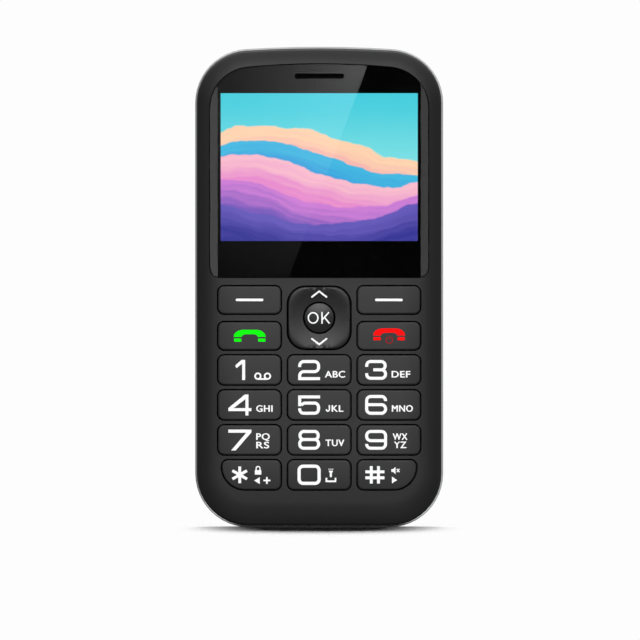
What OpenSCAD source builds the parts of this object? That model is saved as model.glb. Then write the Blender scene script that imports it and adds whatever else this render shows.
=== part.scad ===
/* [Keypad] */
// Width of a key opening
key_w = 16.2; // [14:0.1:17]
// Height of a number key opening
key_h = 7.95; // [7:0.05:9]
// Height of a soft key or call key opening
func_key_h = 7.5; // [6.8:0.1:8.5]
// Corner radius of a key opening
key_r = 1.85; // [1.4:0.05:2.4]
// Width of the front web between two columns of keys
column_rib = 1.1; // [1:0.1:2]
// Height of the front web between two rows of keys
row_rib = 0.73; // [0.6:0.01:1.2]
// Height of the front web between the soft keys and the call keys
soft_rib = 1.42; // [0.8:0.01:2]
// How much narrower the two lower corner keys are on their outer side
corner_key_cut = 0.95; // [0:0.05:1.5]
// Radius of the outer lower corner of those two keys
corner_key_r = 6; // [3:0.1:7]
// Gap round each key in its opening
key_gap = 0.32; // [0.2:0.01:0.45]
// Height of the keys above the front face
key_proud = 0.4; // [0.2:0.05:0.8]
// Radius of the rounded top edge of a key
key_edge_r = 0.4; // [0.2:0.05:0.6]
// How far a key travels when it is pressed
key_travel = 0.3; // [0.2:0.05:0.5]
// How far a key's flange reaches past its opening, under the web
flange_lap = 0.22; // [0.15:0.01:0.27]
// Thickness of a key's flange
flange_t = 0.6; // [0.4:0.05:0.9]
// Length of the plunger under a key's flange
plunger_l = 1.05; // [0.9:0.05:1.6]
// Diameter of the plunger under a key
plunger_d = 2.2; // [1.6:0.1:2.8]
// Running gap under a key's web and over a dome
key_clear = 0.05; // [0.03:0.01:0.1]

/* [Rocker pad] */
// Gap between the rocker pad and the rows of keys above and below its middle
pad_trim = 0.16; // [0.1:0.02:0.6]
// Corner radius of the rocker pad's opening
pad_r = 4.7; // [3:0.1:6]
// Angle that the pad rocks each way
pad_tilt = 2; // [1:0.1:2.5]
// Depth of the dished top of the pad
pad_dish = 0.55; // [0.2:0.05:0.7]
// Distance of each of the pad's plungers from its middle
pad_press = 5.9; // [5:0.1:6.4]
// Thickness of the pad's flange
pad_flange_t = 0.4; // [0.3:0.05:0.6]
// Radius of the round rib that the pad rocks on
pad_pivot_r = 0.5; // [0.35:0.05:0.7]
// Diameter of the round key in the middle of the pad
ok_d = 7.2; // [6:0.1:7.8]
// Gap round the middle key
ok_gap = 0.45; // [0.3:0.05:0.6]
// Rise of the domed top of the middle key
ok_dome = 0.4; // [0.2:0.05:0.7]
// Thickness of the middle key's flange
ok_flange_t = 0.35; // [0.25:0.05:0.5]
// How far the middle key's flange reaches past its hole
ok_flange_lap = 0.45; // [0.3:0.05:0.6]
// Depth of the middle key's top under the tops of the others
ok_sink = 0.1; // [0:0.05:0.3]
// Length of each rib that the pad rocks on
pivot_l = 2.4; // [1.5:0.1:2.6]

/* [Screen] */
// Width of the lit area of the screen
active_w = 48.96; // [46:0.1:52]
// Height of the lit area of the screen
active_h = 36.72; // [34:0.1:40]
// Border of the display module at its top and sides
module_border = 1.5; // [1:0.1:1.8]
// Ledge of the display module under the lit area, for its driver chip
module_ledge = 4.5; // [3:0.1:6]
// Thickness of the display module
module_t = 1.3; // [1.1:0.05:1.5]
// Border of the glass round the lit area
glass_border = 0.6; // [0.4:0.1:0.9]
// Width of the screen's cable
flex_w = 12; // [8:0.5:16]
// Length of the screen's cable on the board
flex_l = 2.3; // [1.5:0.1:2.4]
// Thickness of the screen's cable
flex_t = 0.15; // [0.1:0.05:0.3]
// Length of the cable's plug on the board
plug_l = 1.7; // [1.2:0.1:1.8]
// Height of the cable's plug
plug_h = 0.9; // [0.7:0.05:1]

/* [Lens] */
// Border of the lens at each side of the lit area
lens_border = 2.76; // [2.6:0.05:4]
// Height of the lens under the lit area
lens_foot = 9.14; // [8:0.1:12]
// Height of the lens over the lit area
lens_head = 7.3; // [7.1:0.1:10]
// Height of the front web between the soft keys and the lens
lens_rib = 1.76; // [1.4:0.05:3]
// Thickness of the lens
lens_t = 1; // [0.8:0.05:1.2]
// Depth of the lens face under the front face
lens_sink = 0.15; // [0.05:0.05:0.3]
// Radius of the upper corners of the lens
lens_corner_r = 10.4; // [8:0.1:13]
// Radius of the bowed top edge of the lens
lens_bow_r = 189; // [120:1:400]
// Radius of the lower corners of the lens
lens_foot_r = 2.6; // [1.5:0.1:4]
// Width of each sloping side of the lens
lens_slope_w = 2.04; // [1.2:0.05:2.4]
// Fall of each sloping side of the lens
lens_slope_h = 0.4; // [0.2:0.05:0.6]
// Gap round the lens in its recess
lens_gap = 0.1; // [0.05:0.01:0.2]
// Thickness of the adhesive frame under the lens
tape_t = 0.1; // [0.08:0.01:0.2]
// Thickness of the shelf that carries the lens
shelf_t = 0.75; // [0.6:0.05:0.9]
// Length of the earpiece slot
slot_l = 12.3; // [9:0.1:15]
// Width of the earpiece slot
slot_w = 1.25; // [1:0.05:1.6]
// Depth of the slot's middle under the top of the lens
slot_drop = 3.1; // [2.6:0.1:3.2]
// How much wider the slot is in the shelf under the lens
slot_relief = 0.3; // [0.2:0.05:0.4]
// Gap of the shelf's window round the lit area
view_gap = 0.2; // [0.1:0.05:0.4]
// Corner radius of the shelf's window
view_r = 0.8; // [0.5:0.1:1.5]

/* [Front shell] */
// Height of the front below the keys
bottom_margin = 9.2; // [8.8:0.1:14]
// Height of the front over the lens
top_margin = 4.34; // [4:0.1:8]
// Least width of the front beside the keys
key_side = 5.45; // [5.4:0.05:8]
// Least width of the front beside the lens
lens_side = 3.46; // [3.4:0.02:6]
// Thickness of the front face over the keypad
web_t = 1.4; // [1.3:0.05:2]
// Thickness of the side walls
shell_wall = 1.5; // [1.2:0.05:1.6]
// How far the front shell stands inside the silver band
shell_step = 0.55; // [0.3:0.05:0.8]
// Width of the soft fall along the edge of the front face
crown_w = 6; // [5:0.1:7]
// Radius of that soft fall
crown_r = 10; // [9:0.5:16]
// Radius of the outer edge of the front shell
shell_edge_r = 1.2; // [0.6:0.1:1.5]
// Width of the thicker strip inside the shell's edge
edge_w = 2.4; // [2:0.1:2.5]
// Drop of that strip under the ceiling of the shell
edge_drop = 0.85; // [0.7:0.05:1]
// Thickness of the tongue of the front shell inside the band
tongue_t = 0.8; // [0.5:0.05:0.9]

/* [Outline] */
// Radius of the two upper corners of the body
top_corner_r = 13.4; // [11.5:0.1:16]
// Radius of the two lower corners of the body
bottom_corner_r = 13.4; // [11.5:0.1:16]
// Radius of the bowed top end
top_bow_r = 300; // [200:10:600]

/* [Silver band] */
// Height of the band along the thickness of the body
band_h = 4.8; // [4.6:0.1:5.2]
// Thickness of the band
band_t = 1.4; // [1.2:0.05:1.6]
// Radius of the band's rounded front edge
band_edge_r = 0.5; // [0.3:0.05:0.7]
// Thickness of the inner lip that the chassis clamps
lip_t = 0.8; // [0.6:0.05:1]
// Width of that inner lip
lip_w = 1; // [0.6:0.05:1.1]
// Fit between the band and the mouldings inside it
fit_gap = 0.1; // [0.05:0.01:0.15]
// Gap between flat faces that are clamped together
seat_gap = 0.02; // [0.01:0.01:0.04]

/* [Rear cover] */
// Wall of the rear cover
cover_wall = 1.2; // [1:0.05:1.5]
// How far the rear cover stands inside the band
cover_step = 0.25; // [0.1:0.05:0.4]
// Radius of the rounded edge of the back
cover_edge_r = 4.5; // [3:0.1:4.6]
// Gap between the cover and what it closes on
cover_gap = 0.15; // [0.1:0.01:0.25]
// Length of a snap tab
tab_l = 6; // [4:0.5:8]
// Thickness of a snap tab
tab_t = 0.8; // [0.6:0.05:1]
// Height of the lowest snap tab on each long side
tab_low = 26; // [20:1:30]
// Height of the middle snap tab
tab_mid = 46; // [40:1:54]
// Height of the highest snap tab
tab_high = 90; // [80:1:95]
// Width of the fingernail notch at the foot of the cover
nail_w = 12; // [8:1:16]
// Height of the fingernail notch
nail_h = 0.8; // [0.5:0.1:1.2]

/* [Chassis and battery] */
// Width of the battery
battery_w = 34; // [32:0.5:37]
// Length of the battery
battery_l = 53; // [48:0.5:56]
// Thickness of the battery
battery_t = 5.1; // [4.5:0.1:6]
// Corner radius of the battery
battery_r = 1.2; // [0.6:0.1:2]
// Gap round the battery in its bay and behind it
battery_gap = 0.2; // [0.1:0.05:0.4]
// Height of the battery's lower end above the foot of the phone
battery_v = 10.2; // [10.1:0.1:11]
// Wall of the battery bay
bay_wall = 1; // [0.8:0.05:1.3]
// Floor of the battery bay
floor_t = 0.8; // [0.6:0.05:1.2]
// Walls of the chassis
chassis_wall = 1.2; // [1:0.05:1.4]
// Overlap of the board's edge on its ledge
ledge_lap = 0.3; // [0.2:0.05:0.4]
// Space between the bay floor and the board
part_h = 1.5; // [1.4:0.05:2]

/* [Screws] */
// Diameter of the screw shank
screw_d = 1.6; // [1.4:0.1:1.8]
// Length of the screw shank
screw_l = 5.2; // [4.6:0.1:5.4]
// Diameter of the screw head
head_d = 2.8; // [2.4:0.1:3]
// Height of the screw head
head_h = 0.9; // [0.6:0.05:1.1]
// Clearance round a screw
screw_gap = 0.1; // [0.05:0.01:0.15]
// Diameter of a screw boss on the front shell
boss_d = 3.2; // [2.8:0.1:3.4]
// Wall round a screw head in the chassis
column_wall = 0.6; // [0.5:0.05:0.7]
// Distance of the end screws from the sides
end_screw_in = 11.7; // [11.4:0.1:12]
// Distance of the upper screws from the top
top_screw_in = 7.3; // [7:0.1:7.5]
// Distance of the lower screws from the foot
bottom_screw_in = 6.6; // [6.4:0.1:6.8]
// Distance of the middle screws from the sides
middle_screw_in = 4.5; // [4.3:0.1:4.7]
// Height of the middle screws over the foot of the lens
middle_screw_up = 1.7; // [1.6:0.05:2]
// Length of the cross slots in a screw head
cross_l = 1.6; // [1.2:0.1:2]
// Width and depth of the cross slots
cross_w = 0.35; // [0.25:0.05:0.5]

/* [Board and keypad sheets] */
// Thickness of the main board
board_t = 1; // [0.8:0.05:1.2]
// Thickness of the dome film
film_t = 0.1; // [0.08:0.01:0.15]
// Height of a click dome
dome_h = 0.2; // [0.15:0.01:0.3]
// Diameter of a click dome
dome_d = 4.8; // [4:0.1:5.2]
// Thickness of the keypad mat
mat_t = 0.6; // [0.5:0.05:0.65]
// Border of the mat round the keys
mat_border = 0.7; // [0.5:0.05:0.75]
// Radius of the mat's upper corners
mat_r = 3; // [2:0.1:4]
// Radius of the mat's lower corners
mat_foot_r = 5; // [3:0.1:5.5]
// Width of the foot under the mat's edge
mat_foot = 1; // [0.6:0.1:1.2]
// Clearance round a plunger in the mat
mat_gap = 0.4; // [0.3:0.05:0.6]

/* [Sound, camera and torch] */
// Diameter of the loudspeaker
speaker_d = 18; // [15:0.5:20]
// Thickness of the loudspeaker
speaker_t = 3.8; // [3:0.1:4.5]
// Loudspeaker's place across the phone
speaker_x = -11; // [-12:0.5:-9]
// Loudspeaker's distance below the top
speaker_drop = 35.6; // [34:0.1:38]
// Width of the loudspeaker's seat on the chassis
speaker_seat = 2.5; // [1.5:0.1:3]
// Width of the step round the loudspeaker's magnet
speaker_step = 1.5; // [1:0.1:2.5]
// Thickness of the loudspeaker's mesh
mesh_t = 0.25; // [0.15:0.01:0.3]
// Pitch of the sound slots in the rear cover
sound_pitch = 2.4; // [2:0.1:3]
// Width of a sound slot
sound_w = 1.1; // [0.8:0.05:1.4]
// Length of a sound slot
sound_l = 12; // [8:0.5:13]
// Side of the receiver behind the earpiece slot
receiver_w = 14; // [13.6:0.1:18]
// Height of the receiver
receiver_h = 4.4; // [4:0.1:4.5]
// Corner radius of the receiver
receiver_r = 1.6; // [0.8:0.1:2]
// Diameter of the vibration motor
motor_d = 8; // [6:0.5:10]
// Thickness of the vibration motor
motor_t = 2.7; // [2:0.1:3.4]
// Motor's place across the phone
motor_x = 14; // [12:0.5:15]
// Motor's distance below the top
motor_drop = 45.6; // [44:0.1:47]
// Width of the motor's tail, and its reach past the motor
tail_w = 3; // [2:0.1:4]
// Side of the camera's body
camera_w = 8.5; // [7:0.1:9]
// Height of the camera's body
camera_h = 4.2; // [3.6:0.1:4.8]
// Diameter of the camera's barrel
camera_d = 6; // [5:0.1:6.8]
// Camera's distance below the top
camera_drop = 15.6; // [15:0.1:18]
// Diameter of the camera's window
window_d = 8.8; // [8:0.1:10]
// Thickness of the camera's window
window_t = 0.8; // [0.5:0.05:0.9]
// Lap of the rear cover under the window's edge
window_lap = 0.8; // [0.5:0.05:1]
// Wall of the camera's barrel
barrel_wall = 1.2; // [0.8:0.1:1.6]
// Torch's place beside the camera
torch_x = 8.5; // [8:0.1:11]
// Diameter of the torch's light guide
torch_d = 3.6; // [3:0.1:4]
// Width of the light guide's collar
collar_w = 0.8; // [0.5:0.05:1]
// Side of the torch's lamp
led_w = 3; // [2:0.1:3.4]
// Height of the torch's lamp
led_t = 0.7; // [0.5:0.05:0.9]
// Microphone's place across the phone
mic_x = 10; // [8.5:0.5:14]
// Width of the microphone
mic_w = 4; // [3:0.1:5]
// Length of the microphone
mic_l = 3; // [2.4:0.1:4]
// Height of the microphone
mic_t = 1.1; // [0.8:0.05:1.3]
// Diameter of the microphone's hole
mic_d = 1; // [0.8:0.1:1.4]

/* [Sockets and holders] */
// Width of the charging socket
port_w = 8.94; // [7.5:0.02:9.2]
// Height of the charging socket
port_h = 3.2; // [2.6:0.05:3.4]
// Length of the charging socket
port_l = 7.4; // [6:0.1:7.6]
// Sheet thickness of the charging socket
port_sheet = 0.3; // [0.2:0.05:0.4]
// Depth of the charging socket's mouth under the foot
port_sink = 0.4; // [0.2:0.05:0.6]
// Width of the tongue in the charging socket
tongue_w = 6.6; // [5:0.1:6.8]
// Thickness of the tongue in the charging socket
port_tongue_t = 0.7; // [0.5:0.05:0.8]
// Clearance of the sockets in the band
port_gap = 0.15; // [0.1:0.05:0.25]
// Bore of the headphone socket
jack_bore_d = 3.6; // [3.5:0.02:3.8]
// Side of the headphone socket's body
jack_w = 6; // [5:0.1:6.2]
// Height of the headphone socket's body
jack_h = 4.8; // [4.5:0.1:5.2]
// Length of the headphone socket's body
jack_l = 12; // [10:0.5:14]
// Headphone socket's place across the phone
jack_x = -13; // [-13.2:0.1:-12.5]
// Width of the battery connector
contact_w = 10; // [8:0.5:12]
// Length of the battery connector
contact_l = 3.4; // [2.5:0.1:4]
// Pitch of the battery's contacts
contact_pitch = 2.95; // [2.4:0.05:3.2]
// Width of a contact finger
finger_w = 1.6; // [1:0.1:1.8]
// Height of a contact finger
finger_h = 1.2; // [0.8:0.1:1.6]
// Depth of the battery connector's back under the bay's mouth
contact_rise = 1.2; // [0.8:0.1:1.6]
// Width of a SIM holder
sim_w = 16; // [14:0.5:16.4]
// Length of a SIM holder
sim_l = 15.5; // [13:0.5:18]
// Height of the SIM and card holders
holder_t = 1.3; // [1.1:0.05:1.35]
// Width of the memory card holder
card_w = 14; // [12:0.5:16]
// Length of the memory card holder
card_l = 15; // [12:0.5:17]
// Gap round the holders in the floor of the bay
holder_gap = 0.2; // [0.1:0.05:0.4]
// Space between two holders
holder_space = 3; // [2:0.1:4]
// Wall at the sides of a holder
holder_wall = 0.8; // [0.6:0.05:1]
// Sheet thickness of a holder
holder_sheet = 0.3; // [0.2:0.05:0.35]
// Side of the test window in a holder
holder_window = 5; // [3:0.5:7]
// Height of the shield cans
can_t = 1.6; // [1.2:0.1:2]
// Width of the large shield can
can_w = 20; // [16:0.5:21]
// Length of the large shield can
can_l = 16; // [12:0.5:18]
// Width of the small shield can
small_can_w = 10; // [8:0.5:11]
// Length of the small shield can
small_can_l = 8; // [6:0.5:9]
// Corner radius of the shield cans
can_r = 0.8; // [0.4:0.1:1.5]
// Width of the antenna plate
antenna_w = 6.5; // [5:0.5:7]
// Length of the antenna plate
antenna_l = 9; // [7:0.5:10]
// Thickness of the antenna plate
antenna_t = 0.25; // [0.2:0.05:0.4]
// Width of the antenna's spring leg
leg_w = 1.5; // [1:0.1:2]

/* [Hidden] */
$fn = 128;
// Steps along each corner and each bow of an outline, and the shortest line that is swept along
corner_steps = 12;
bow_steps = 6;
least_line = 0.01;
// Share of a plate's smallest corner radius that its swept rim takes
rim_share = 0.8;
// Overshoot of a cut, a loose gap round an inner piece, and the gap behind the chassis deck
cut = 1;
loose_gap = 0.3;
deck_gap = 0.15;

// Levels through the thickness, counted from the back
w_batt0 = cover_wall + battery_gap;
w_batt1 = w_batt0 + battery_t;
w_contact0 = w_batt0 + contact_rise;
w_floor0 = w_batt1 + battery_gap / 2;
w_floor1 = w_floor0 + floor_t;
w_board0 = w_floor1 + part_h;
w_board1 = w_board0 + board_t;
w_film1 = w_board1 + film_t;
w_dome1 = w_film1 + dome_h;
w_tip = w_dome1 + key_travel + key_clear;
w_flange0 = w_tip + plunger_l;
w_flange1 = w_flange0 + flange_t;
w_web0 = w_flange1 + key_clear;
w_front = w_web0 + web_t;
body_t = w_front + key_proud;
w_lens1 = w_front - lens_sink;
w_lens0 = w_lens1 - lens_t;
w_shelf1 = w_lens0 - tape_t;
w_shelf0 = w_shelf1 - shelf_t;
w_module1 = w_shelf0 - key_clear;
w_module0 = w_module1 - module_t;
w_port = w_board0 - port_h / 2;
w_band0 = w_port - band_h / 2;
w_band1 = w_port + band_h / 2;
w_clamp = w_band0 + lip_t + key_clear;
w_deck0 = cover_wall + deck_gap;
w_deck1 = w_deck0 + chassis_wall;
w_boss0 = w_board0 - loose_gap;
w_mat1 = w_flange0 - key_travel - key_clear;
w_mat0 = w_mat1 - mat_t;
pad_h = 2 * func_key_h + soft_rib - 2 * pad_trim;
pad_lift = (pad_h / 2 + flange_lap) * sin(pad_tilt) + key_clear;
w_pad1 = w_web0 - pad_lift;
w_pad0 = w_pad1 - pad_flange_t;
w_mat_pad = w_pad0 - pad_pivot_r - key_clear;
ok_hole_r = ok_d / 2 + ok_gap;
ok_flange_r = ok_hole_r + ok_flange_lap;
w_ok1 = w_pad0 - ok_flange_r * sin(pad_tilt) - key_clear;
w_ok0 = w_ok1 - ok_flange_t;

// Heights up the phone, counted from its foot
column = key_w + column_rib;
row = key_h + row_rib;
v_row = bottom_margin + key_h / 2;
v_call0 = bottom_margin + 4 * row;
v_call = v_call0 + func_key_h / 2;
v_soft = v_call + func_key_h + soft_rib;
v_soft1 = v_soft + func_key_h / 2;
v_pad = (v_call0 + v_soft1) / 2;
v_lens0 = v_soft1 + lens_rib;
v_active0 = v_lens0 + lens_foot;
v_active1 = v_active0 + active_h;
v_lens1 = v_active1 + lens_head;
body_h = v_lens1 + top_margin;
v_zone = v_soft1 + lens_rib / 2;
v_slot = v_lens1 - slot_drop;
v_bay0 = battery_v - battery_gap;
v_bay1 = battery_v + battery_l + battery_gap;
v_speaker = body_h - speaker_drop;
v_motor = body_h - motor_drop;
v_camera = body_h - camera_drop;

// Widths across the phone
keypad_w = 3 * key_w + 2 * column_rib;
lens_w = active_w + 2 * lens_border;
lens_x = lens_w / 2;
body_w = max(keypad_w + 2 * key_side, lens_w + 2 * lens_side);
module_w = active_w + 2 * module_border;
mat_w = keypad_w + 2 * mat_border;

// Distances inside the outline
in_chassis = band_t + fit_gap;
in_board = in_chassis + chassis_wall - ledge_lap;
in_deck = cover_step + cover_edge_r + deck_gap;
in_hollow = in_deck + chassis_wall;
in_room = shell_step + shell_wall;
in_ceiling = in_room + edge_w;

// A plate's outline is a list of lines and arcs that runs anticlockwise. A two-ended outline holds its
// half width, its lower and upper level, and the corner and bow radius of its upper and lower end
function polar(r, a) = r * [cos(a), sin(a)];
function line(p, q) = ["line", p, q];
function arc(c, r, a, sweep) = ["arc", c, r, a, sweep];
function ended(half_w, v0, v1, top, foot) = ["ended", half_w, v0, v1, top, foot];
function left_of(s) = let (t = (s[2] - s[1]) / norm(s[2] - s[1])) [-t[1], t[0]];
function closer(end, d) = [end[0] - d, end[1] == 0 ? 0 : end[1] - d];
function inset(path, d) =
    path[0] == "ended"
        ? ended(path[1] - d, path[2] + d, path[3] - d, closer(path[4], d), closer(path[5], d))
        : [
            for (s = path)
                s[0] == "arc"
                    ? arc(s[1], s[2] - d, s[3], s[4])
                    : line(s[1] + d * left_of(s), s[2] + d * left_of(s))
        ];

// The corner of a two-ended outline, measured from the middle of the end's edge; a bow of 0 is a flat end
function bow_angle(half_w, end) = end[1] == 0 ? 0 : asin((half_w - end[0]) / (end[1] - end[0]));
function corner_drop(half_w, end) =
    end[1] == 0 ? end[0] : end[1] - (end[1] - end[0]) * cos(bow_angle(half_w, end));
function end_arcs(half_w, v, end) =
    let (a = bow_angle(half_w, end), u = half_w - end[0], y = v - corner_drop(half_w, end))
    [arc([u, y], end[0], 0, 90 - a), arc([-u, y], end[0], 90 + a, 90 - a)];
function arcs_of(path) = [for (s = path) if (s[0] == "arc") s];
function rim_depth(path) = rim_share * min([for (s = arcs_of(path)) s[2]]);
function inner_points(path, d, step = 15) = [
    for (s = arcs_of(path))
        let (n = ceil(s[4] / step))
            for (i = [0 : n - 1])
                s[1] + polar(s[2] - d, s[3] + s[4] * (i + 0.5) / n)
];
function arc_points(c, r, a0, a1, n) = [for (i = [0 : n]) c + polar(r, a0 + (a1 - a0) * i / n)];

// Points round a two-ended outline, in steps along each corner and each bow
function bow_points(half_w, v, end) =
    let (a = bow_angle(half_w, end))
    end[1] == 0
        ? []
        : [for (i = [1 : bow_steps - 1]) [0, v - end[1]] + polar(end[1], 90 - a + 2 * a * i / bow_steps)];
function end_points(half_w, v, end) =
    let (c = end_arcs(half_w, v, end))
    concat(
        arc_points(c[0][1], c[0][2], c[0][3], c[0][3] + c[0][4], corner_steps),
        bow_points(half_w, v, end),
        arc_points(c[1][1], c[1][2], c[1][3], c[1][3] + c[1][4], corner_steps)
    );
function outline_points(path) =
    concat(end_points(path[1], path[3], path[4]), -1 * end_points(path[1], -path[2], path[5]));

// A rectangle with its own radius at each corner: upper right, upper left, lower left, lower right
function plate(c, w, h, r) =
    let (x = w / 2, y = h / 2)
    [
        line(c + [x, r[3] - y], c + [x, y - r[0]]),
        arc(c + [x - r[0], y - r[0]], r[0], 0, 90),
        line(c + [x - r[0], y], c + [r[1] - x, y]),
        arc(c + [r[1] - x, y - r[1]], r[1], 90, 90),
        line(c + [-x, y - r[1]], c + [-x, r[2] - y]),
        arc(c + [r[2] - x, r[2] - y], r[2], 180, 90),
        line(c + [r[2] - x, -y], c + [x - r[3], -y]),
        arc(c + [x - r[3], r[3] - y], r[3], 270, 90)
    ];
function even(r) = [r, r, r, r];

BODY = ended(body_w / 2, 0, body_h, [top_corner_r, top_bow_r], [bottom_corner_r, 0]);
LENS = ended(lens_w / 2, v_lens0, v_lens1, [lens_corner_r, lens_bow_r], [lens_foot_r, 0]);
MAT = plate(
    [0, (bottom_margin + v_soft1) / 2], mat_w, v_soft1 - bottom_margin + 2 * mat_border,
    [mat_r, mat_r, mat_foot_r, mat_foot_r]
);
PAD = plate([0, v_pad], key_w, pad_h, even(pad_r));

// Each key: name, middle, width, height, corner radii
DIGITS = [
    "key_1", "key_2", "key_3", "key_4", "key_5", "key_6",
    "key_7", "key_8", "key_9", "key_star", "key_0", "key_hash"
];
function digit_side(i) = i == 9 ? -1 : i == 11 ? 1 : 0;
function digit_key(i) =
    let (
        s = digit_side(i),
        u = (i % 3 - 1) * column,
        v = v_row + (3 - floor(i / 3)) * row,
        low_r = min(corner_key_r, key_h - key_r)
    )
    [
        DIGITS[i], [u - s * corner_key_cut / 2, v], key_w - abs(s) * corner_key_cut, key_h,
        [key_r, key_r, s < 0 ? low_r : key_r, s > 0 ? low_r : key_r]
    ];
KEYS = concat(
    [for (i = [0 : 11]) digit_key(i)],
    [
        ["key_soft_left", [-column, v_soft], key_w, func_key_h, even(key_r)],
        ["key_soft_right", [column, v_soft], key_w, func_key_h, even(key_r)],
        ["key_call", [-column, v_call], key_w, func_key_h, even(key_r)],
        ["key_end", [column, v_call], key_w, func_key_h, even(key_r)]
    ]
);
function opening(k) = plate(k[1], k[2], k[3], k[4]);
PAD_DOMES = [[0, v_pad - pad_press], [0, v_pad], [0, v_pad + pad_press]];

// Screws: place, the level that the front shell's boss rises to, and the level that the chassis starts at
end_u = body_w / 2 - end_screw_in;
middle_u = body_w / 2 - middle_screw_in;
SCREWS = [
    for (s = [-1, 1])
        each [
            [s * end_u, bottom_screw_in, w_web0 + web_t / 2, w_deck0],
            [s * middle_u, v_lens0 + middle_screw_up, w_shelf0 + shelf_t / 2, w_clamp],
            [s * end_u, body_h - top_screw_in, w_shelf0 + shelf_t / 2, w_deck0]
        ]
];
// Holders under the battery: middle, width, length
v_holders = v_bay1 - holder_space - sim_l / 2;
sim_u = sim_w / 2 + 2 * holder_gap;
HOLDERS = [
    [-sim_u, v_holders, sim_w, sim_l],
    [sim_u, v_holders, sim_w, sim_l],
    [0, v_holders - sim_l / 2 - holder_space - card_l / 2, card_w, card_l]
];
function corner(h, side, gap, w) = [h[0] + side * (h[2] / 2 - gap), h[1] + side * (h[3] / 2 - gap), w];

boss_r = boss_d / 2;
column_r = head_d / 2 + screw_gap + column_wall;

// Stands the phone up: u across, v up, w from the back to the front
module stand() {
    translate([0, body_t / 2, 0]) rotate([90, 0, 0]) children();
}

// Carries a flat profile, drawn inwards from x = 0, round a plate's outline
module sweep(path) {
    for (s = path) {
        if (s[0] == "arc") {
            translate(concat(s[1], 0))
                rotate([0, 0, s[3]])
                    rotate_extrude(angle = s[4]) translate([s[2], 0]) children();
        } else if (norm(s[2] - s[1]) > least_line) {
            translate(concat(s[2], 0))
                rotate([90, 0, atan2(s[2][1] - s[1][1], s[2][0] - s[1][0]) - 90])
                    linear_extrude(norm(s[2] - s[1])) children();
        }
    }
}

// A flat ring between two distances inside an outline
module ring(path, d0, d1, w0, w1) {
    difference() {
        slab(inset(path, d0), w0, w1);
        slab(inset(path, d1), w0 - cut, w1 + cut);
    }
}

// A solid whose rim has a profile of [depth, level] points, filled between the levels w0 and w1
module moulded(path, points, depth, w0, w1) {
    sweep(path) polygon([for (p = points) [-p[0], p[1]]]);
    translate([0, 0, w0]) linear_extrude(w1 - w0) polygon(inner_points(path, depth / 2));
}

// A plain slab with an outline
module slab(path, w0, w1) {
    if (path[0] == "ended") {
        translate([0, 0, w0]) linear_extrude(w1 - w0) polygon(outline_points(path));
    } else {
        depth = rim_depth(path);
        moulded(path, [[0, w0], [0, w1], [depth, w1], [depth, w0]], depth, w0, w1);
    }
}

// A box between two corners
module box(p, q) {
    translate(p) cube(q - p);
}

// A round pin between two levels
module pin(at, r, w0, w1) {
    translate([at[0], at[1], w0]) cylinder(r = r, h = w1 - w0);
}

// A slab whose upper edge is rounded
module cushioned(path, w0, w1, r) {
    depth = rim_depth(path);
    edge = arc_points([r, w1 - r], r, 180, 90, 4);
    moulded(path, concat([[depth, w0], [0, w0]], edge, [[depth, w1]]), depth, w0, w1);
}

// A closed solid lofted through an outline that shrinks along a list of [depth, level] points
module loft(path, points) {
    rings = [for (p = points) [for (q = outline_points(inset(path, p[0]))) concat(q, p[1])]];
    n = len(rings[0]);
    m = len(rings);
    sides = [
        for (j = [0 : m - 2], i = [0 : n - 1])
            let (k = (i + 1) % n)
                each [[j * n + i, (j + 1) * n + i, (j + 1) * n + k], [j * n + i, (j + 1) * n + k, j * n + k]]
    ];
    foot = [for (i = [0 : n - 1]) i];
    lid = [for (i = [n - 1 : -1 : 0]) (m - 1) * n + i];
    polyhedron([for (r = rings) each r], concat(sides, [foot], [lid]));
}

// The outside of the front shell, with its soft fall along the edge
module front_form() {
    fall_w = w_front - crown_r;
    fall_in = crown_w - shell_edge_r;
    lip_level = fall_w + sqrt(pow(crown_r - shell_edge_r, 2) - pow(fall_in, 2));
    turn = atan2(lip_level - fall_w, fall_in);
    edge = arc_points([shell_edge_r, lip_level], shell_edge_r, 180, 180 - turn, 5);
    fall = arc_points([crown_w, fall_w], crown_r, 180 - turn, 90, 7);
    foot = [0, w_band1 + seat_gap];
    loft(inset(BODY, shell_step), concat([foot], [for (i = [0 : 4]) edge[i]], fall));
}

module front_room() {
    slab(inset(BODY, in_room), w_band1 - cut, w_web0 - edge_drop);
    intersection() {
        slab(inset(BODY, in_ceiling), w_band1, w_web0);
        box([-body_w, -cut, 0], [body_w, v_zone, body_t]);
    }
    intersection() {
        slab(inset(BODY, in_ceiling), w_band1, w_shelf0);
        box([-body_w, v_zone - cut, 0], [body_w, body_h + cut, body_t]);
    }
}

module earpiece_slot(extra, w0, w1) {
    r = slot_w / 2 + extra - least_line;
    slab(plate([0, v_slot], slot_l + 2 * extra, slot_w + 2 * extra, even(r)), w0, w1);
}

// The window in the shelf, through which the lit area is seen
module view_window(w0, w1) {
    middle = [0, v_active0 + active_h / 2];
    slab(plate(middle, active_w + 2 * view_gap, active_h + 2 * view_gap, even(view_r)), w0, w1);
}

module front_housing() {
    color([0.2, 0.2, 0.21]) stand() difference() {
        union() {
            difference() {
                front_form();
                front_room();
            }
            ring(BODY, in_chassis, in_chassis + tongue_t, w_board0 + key_clear, w_band1 + web_t);
            for (s = SCREWS) pin(s, boss_r, w_boss0, s[2]);
        }
        slab(inset(LENS, -lens_gap), w_shelf1, body_t + cut);
        view_window(w_shelf0 - cut, w_front);
        earpiece_slot(slot_relief, w_shelf0 - cut, w_front);
        for (k = KEYS) slab(opening(k), w_web0 - cut, body_t + cut);
        slab(PAD, w_web0 - cut, body_t + cut);
        for (s = SCREWS) pin(s, screw_d / 2 + key_clear, w_boss0 - cut, w_clamp + screw_l + loose_gap);
        jack_space(w_band0, w_band1 + seat_gap / 2);
    }
}

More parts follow.
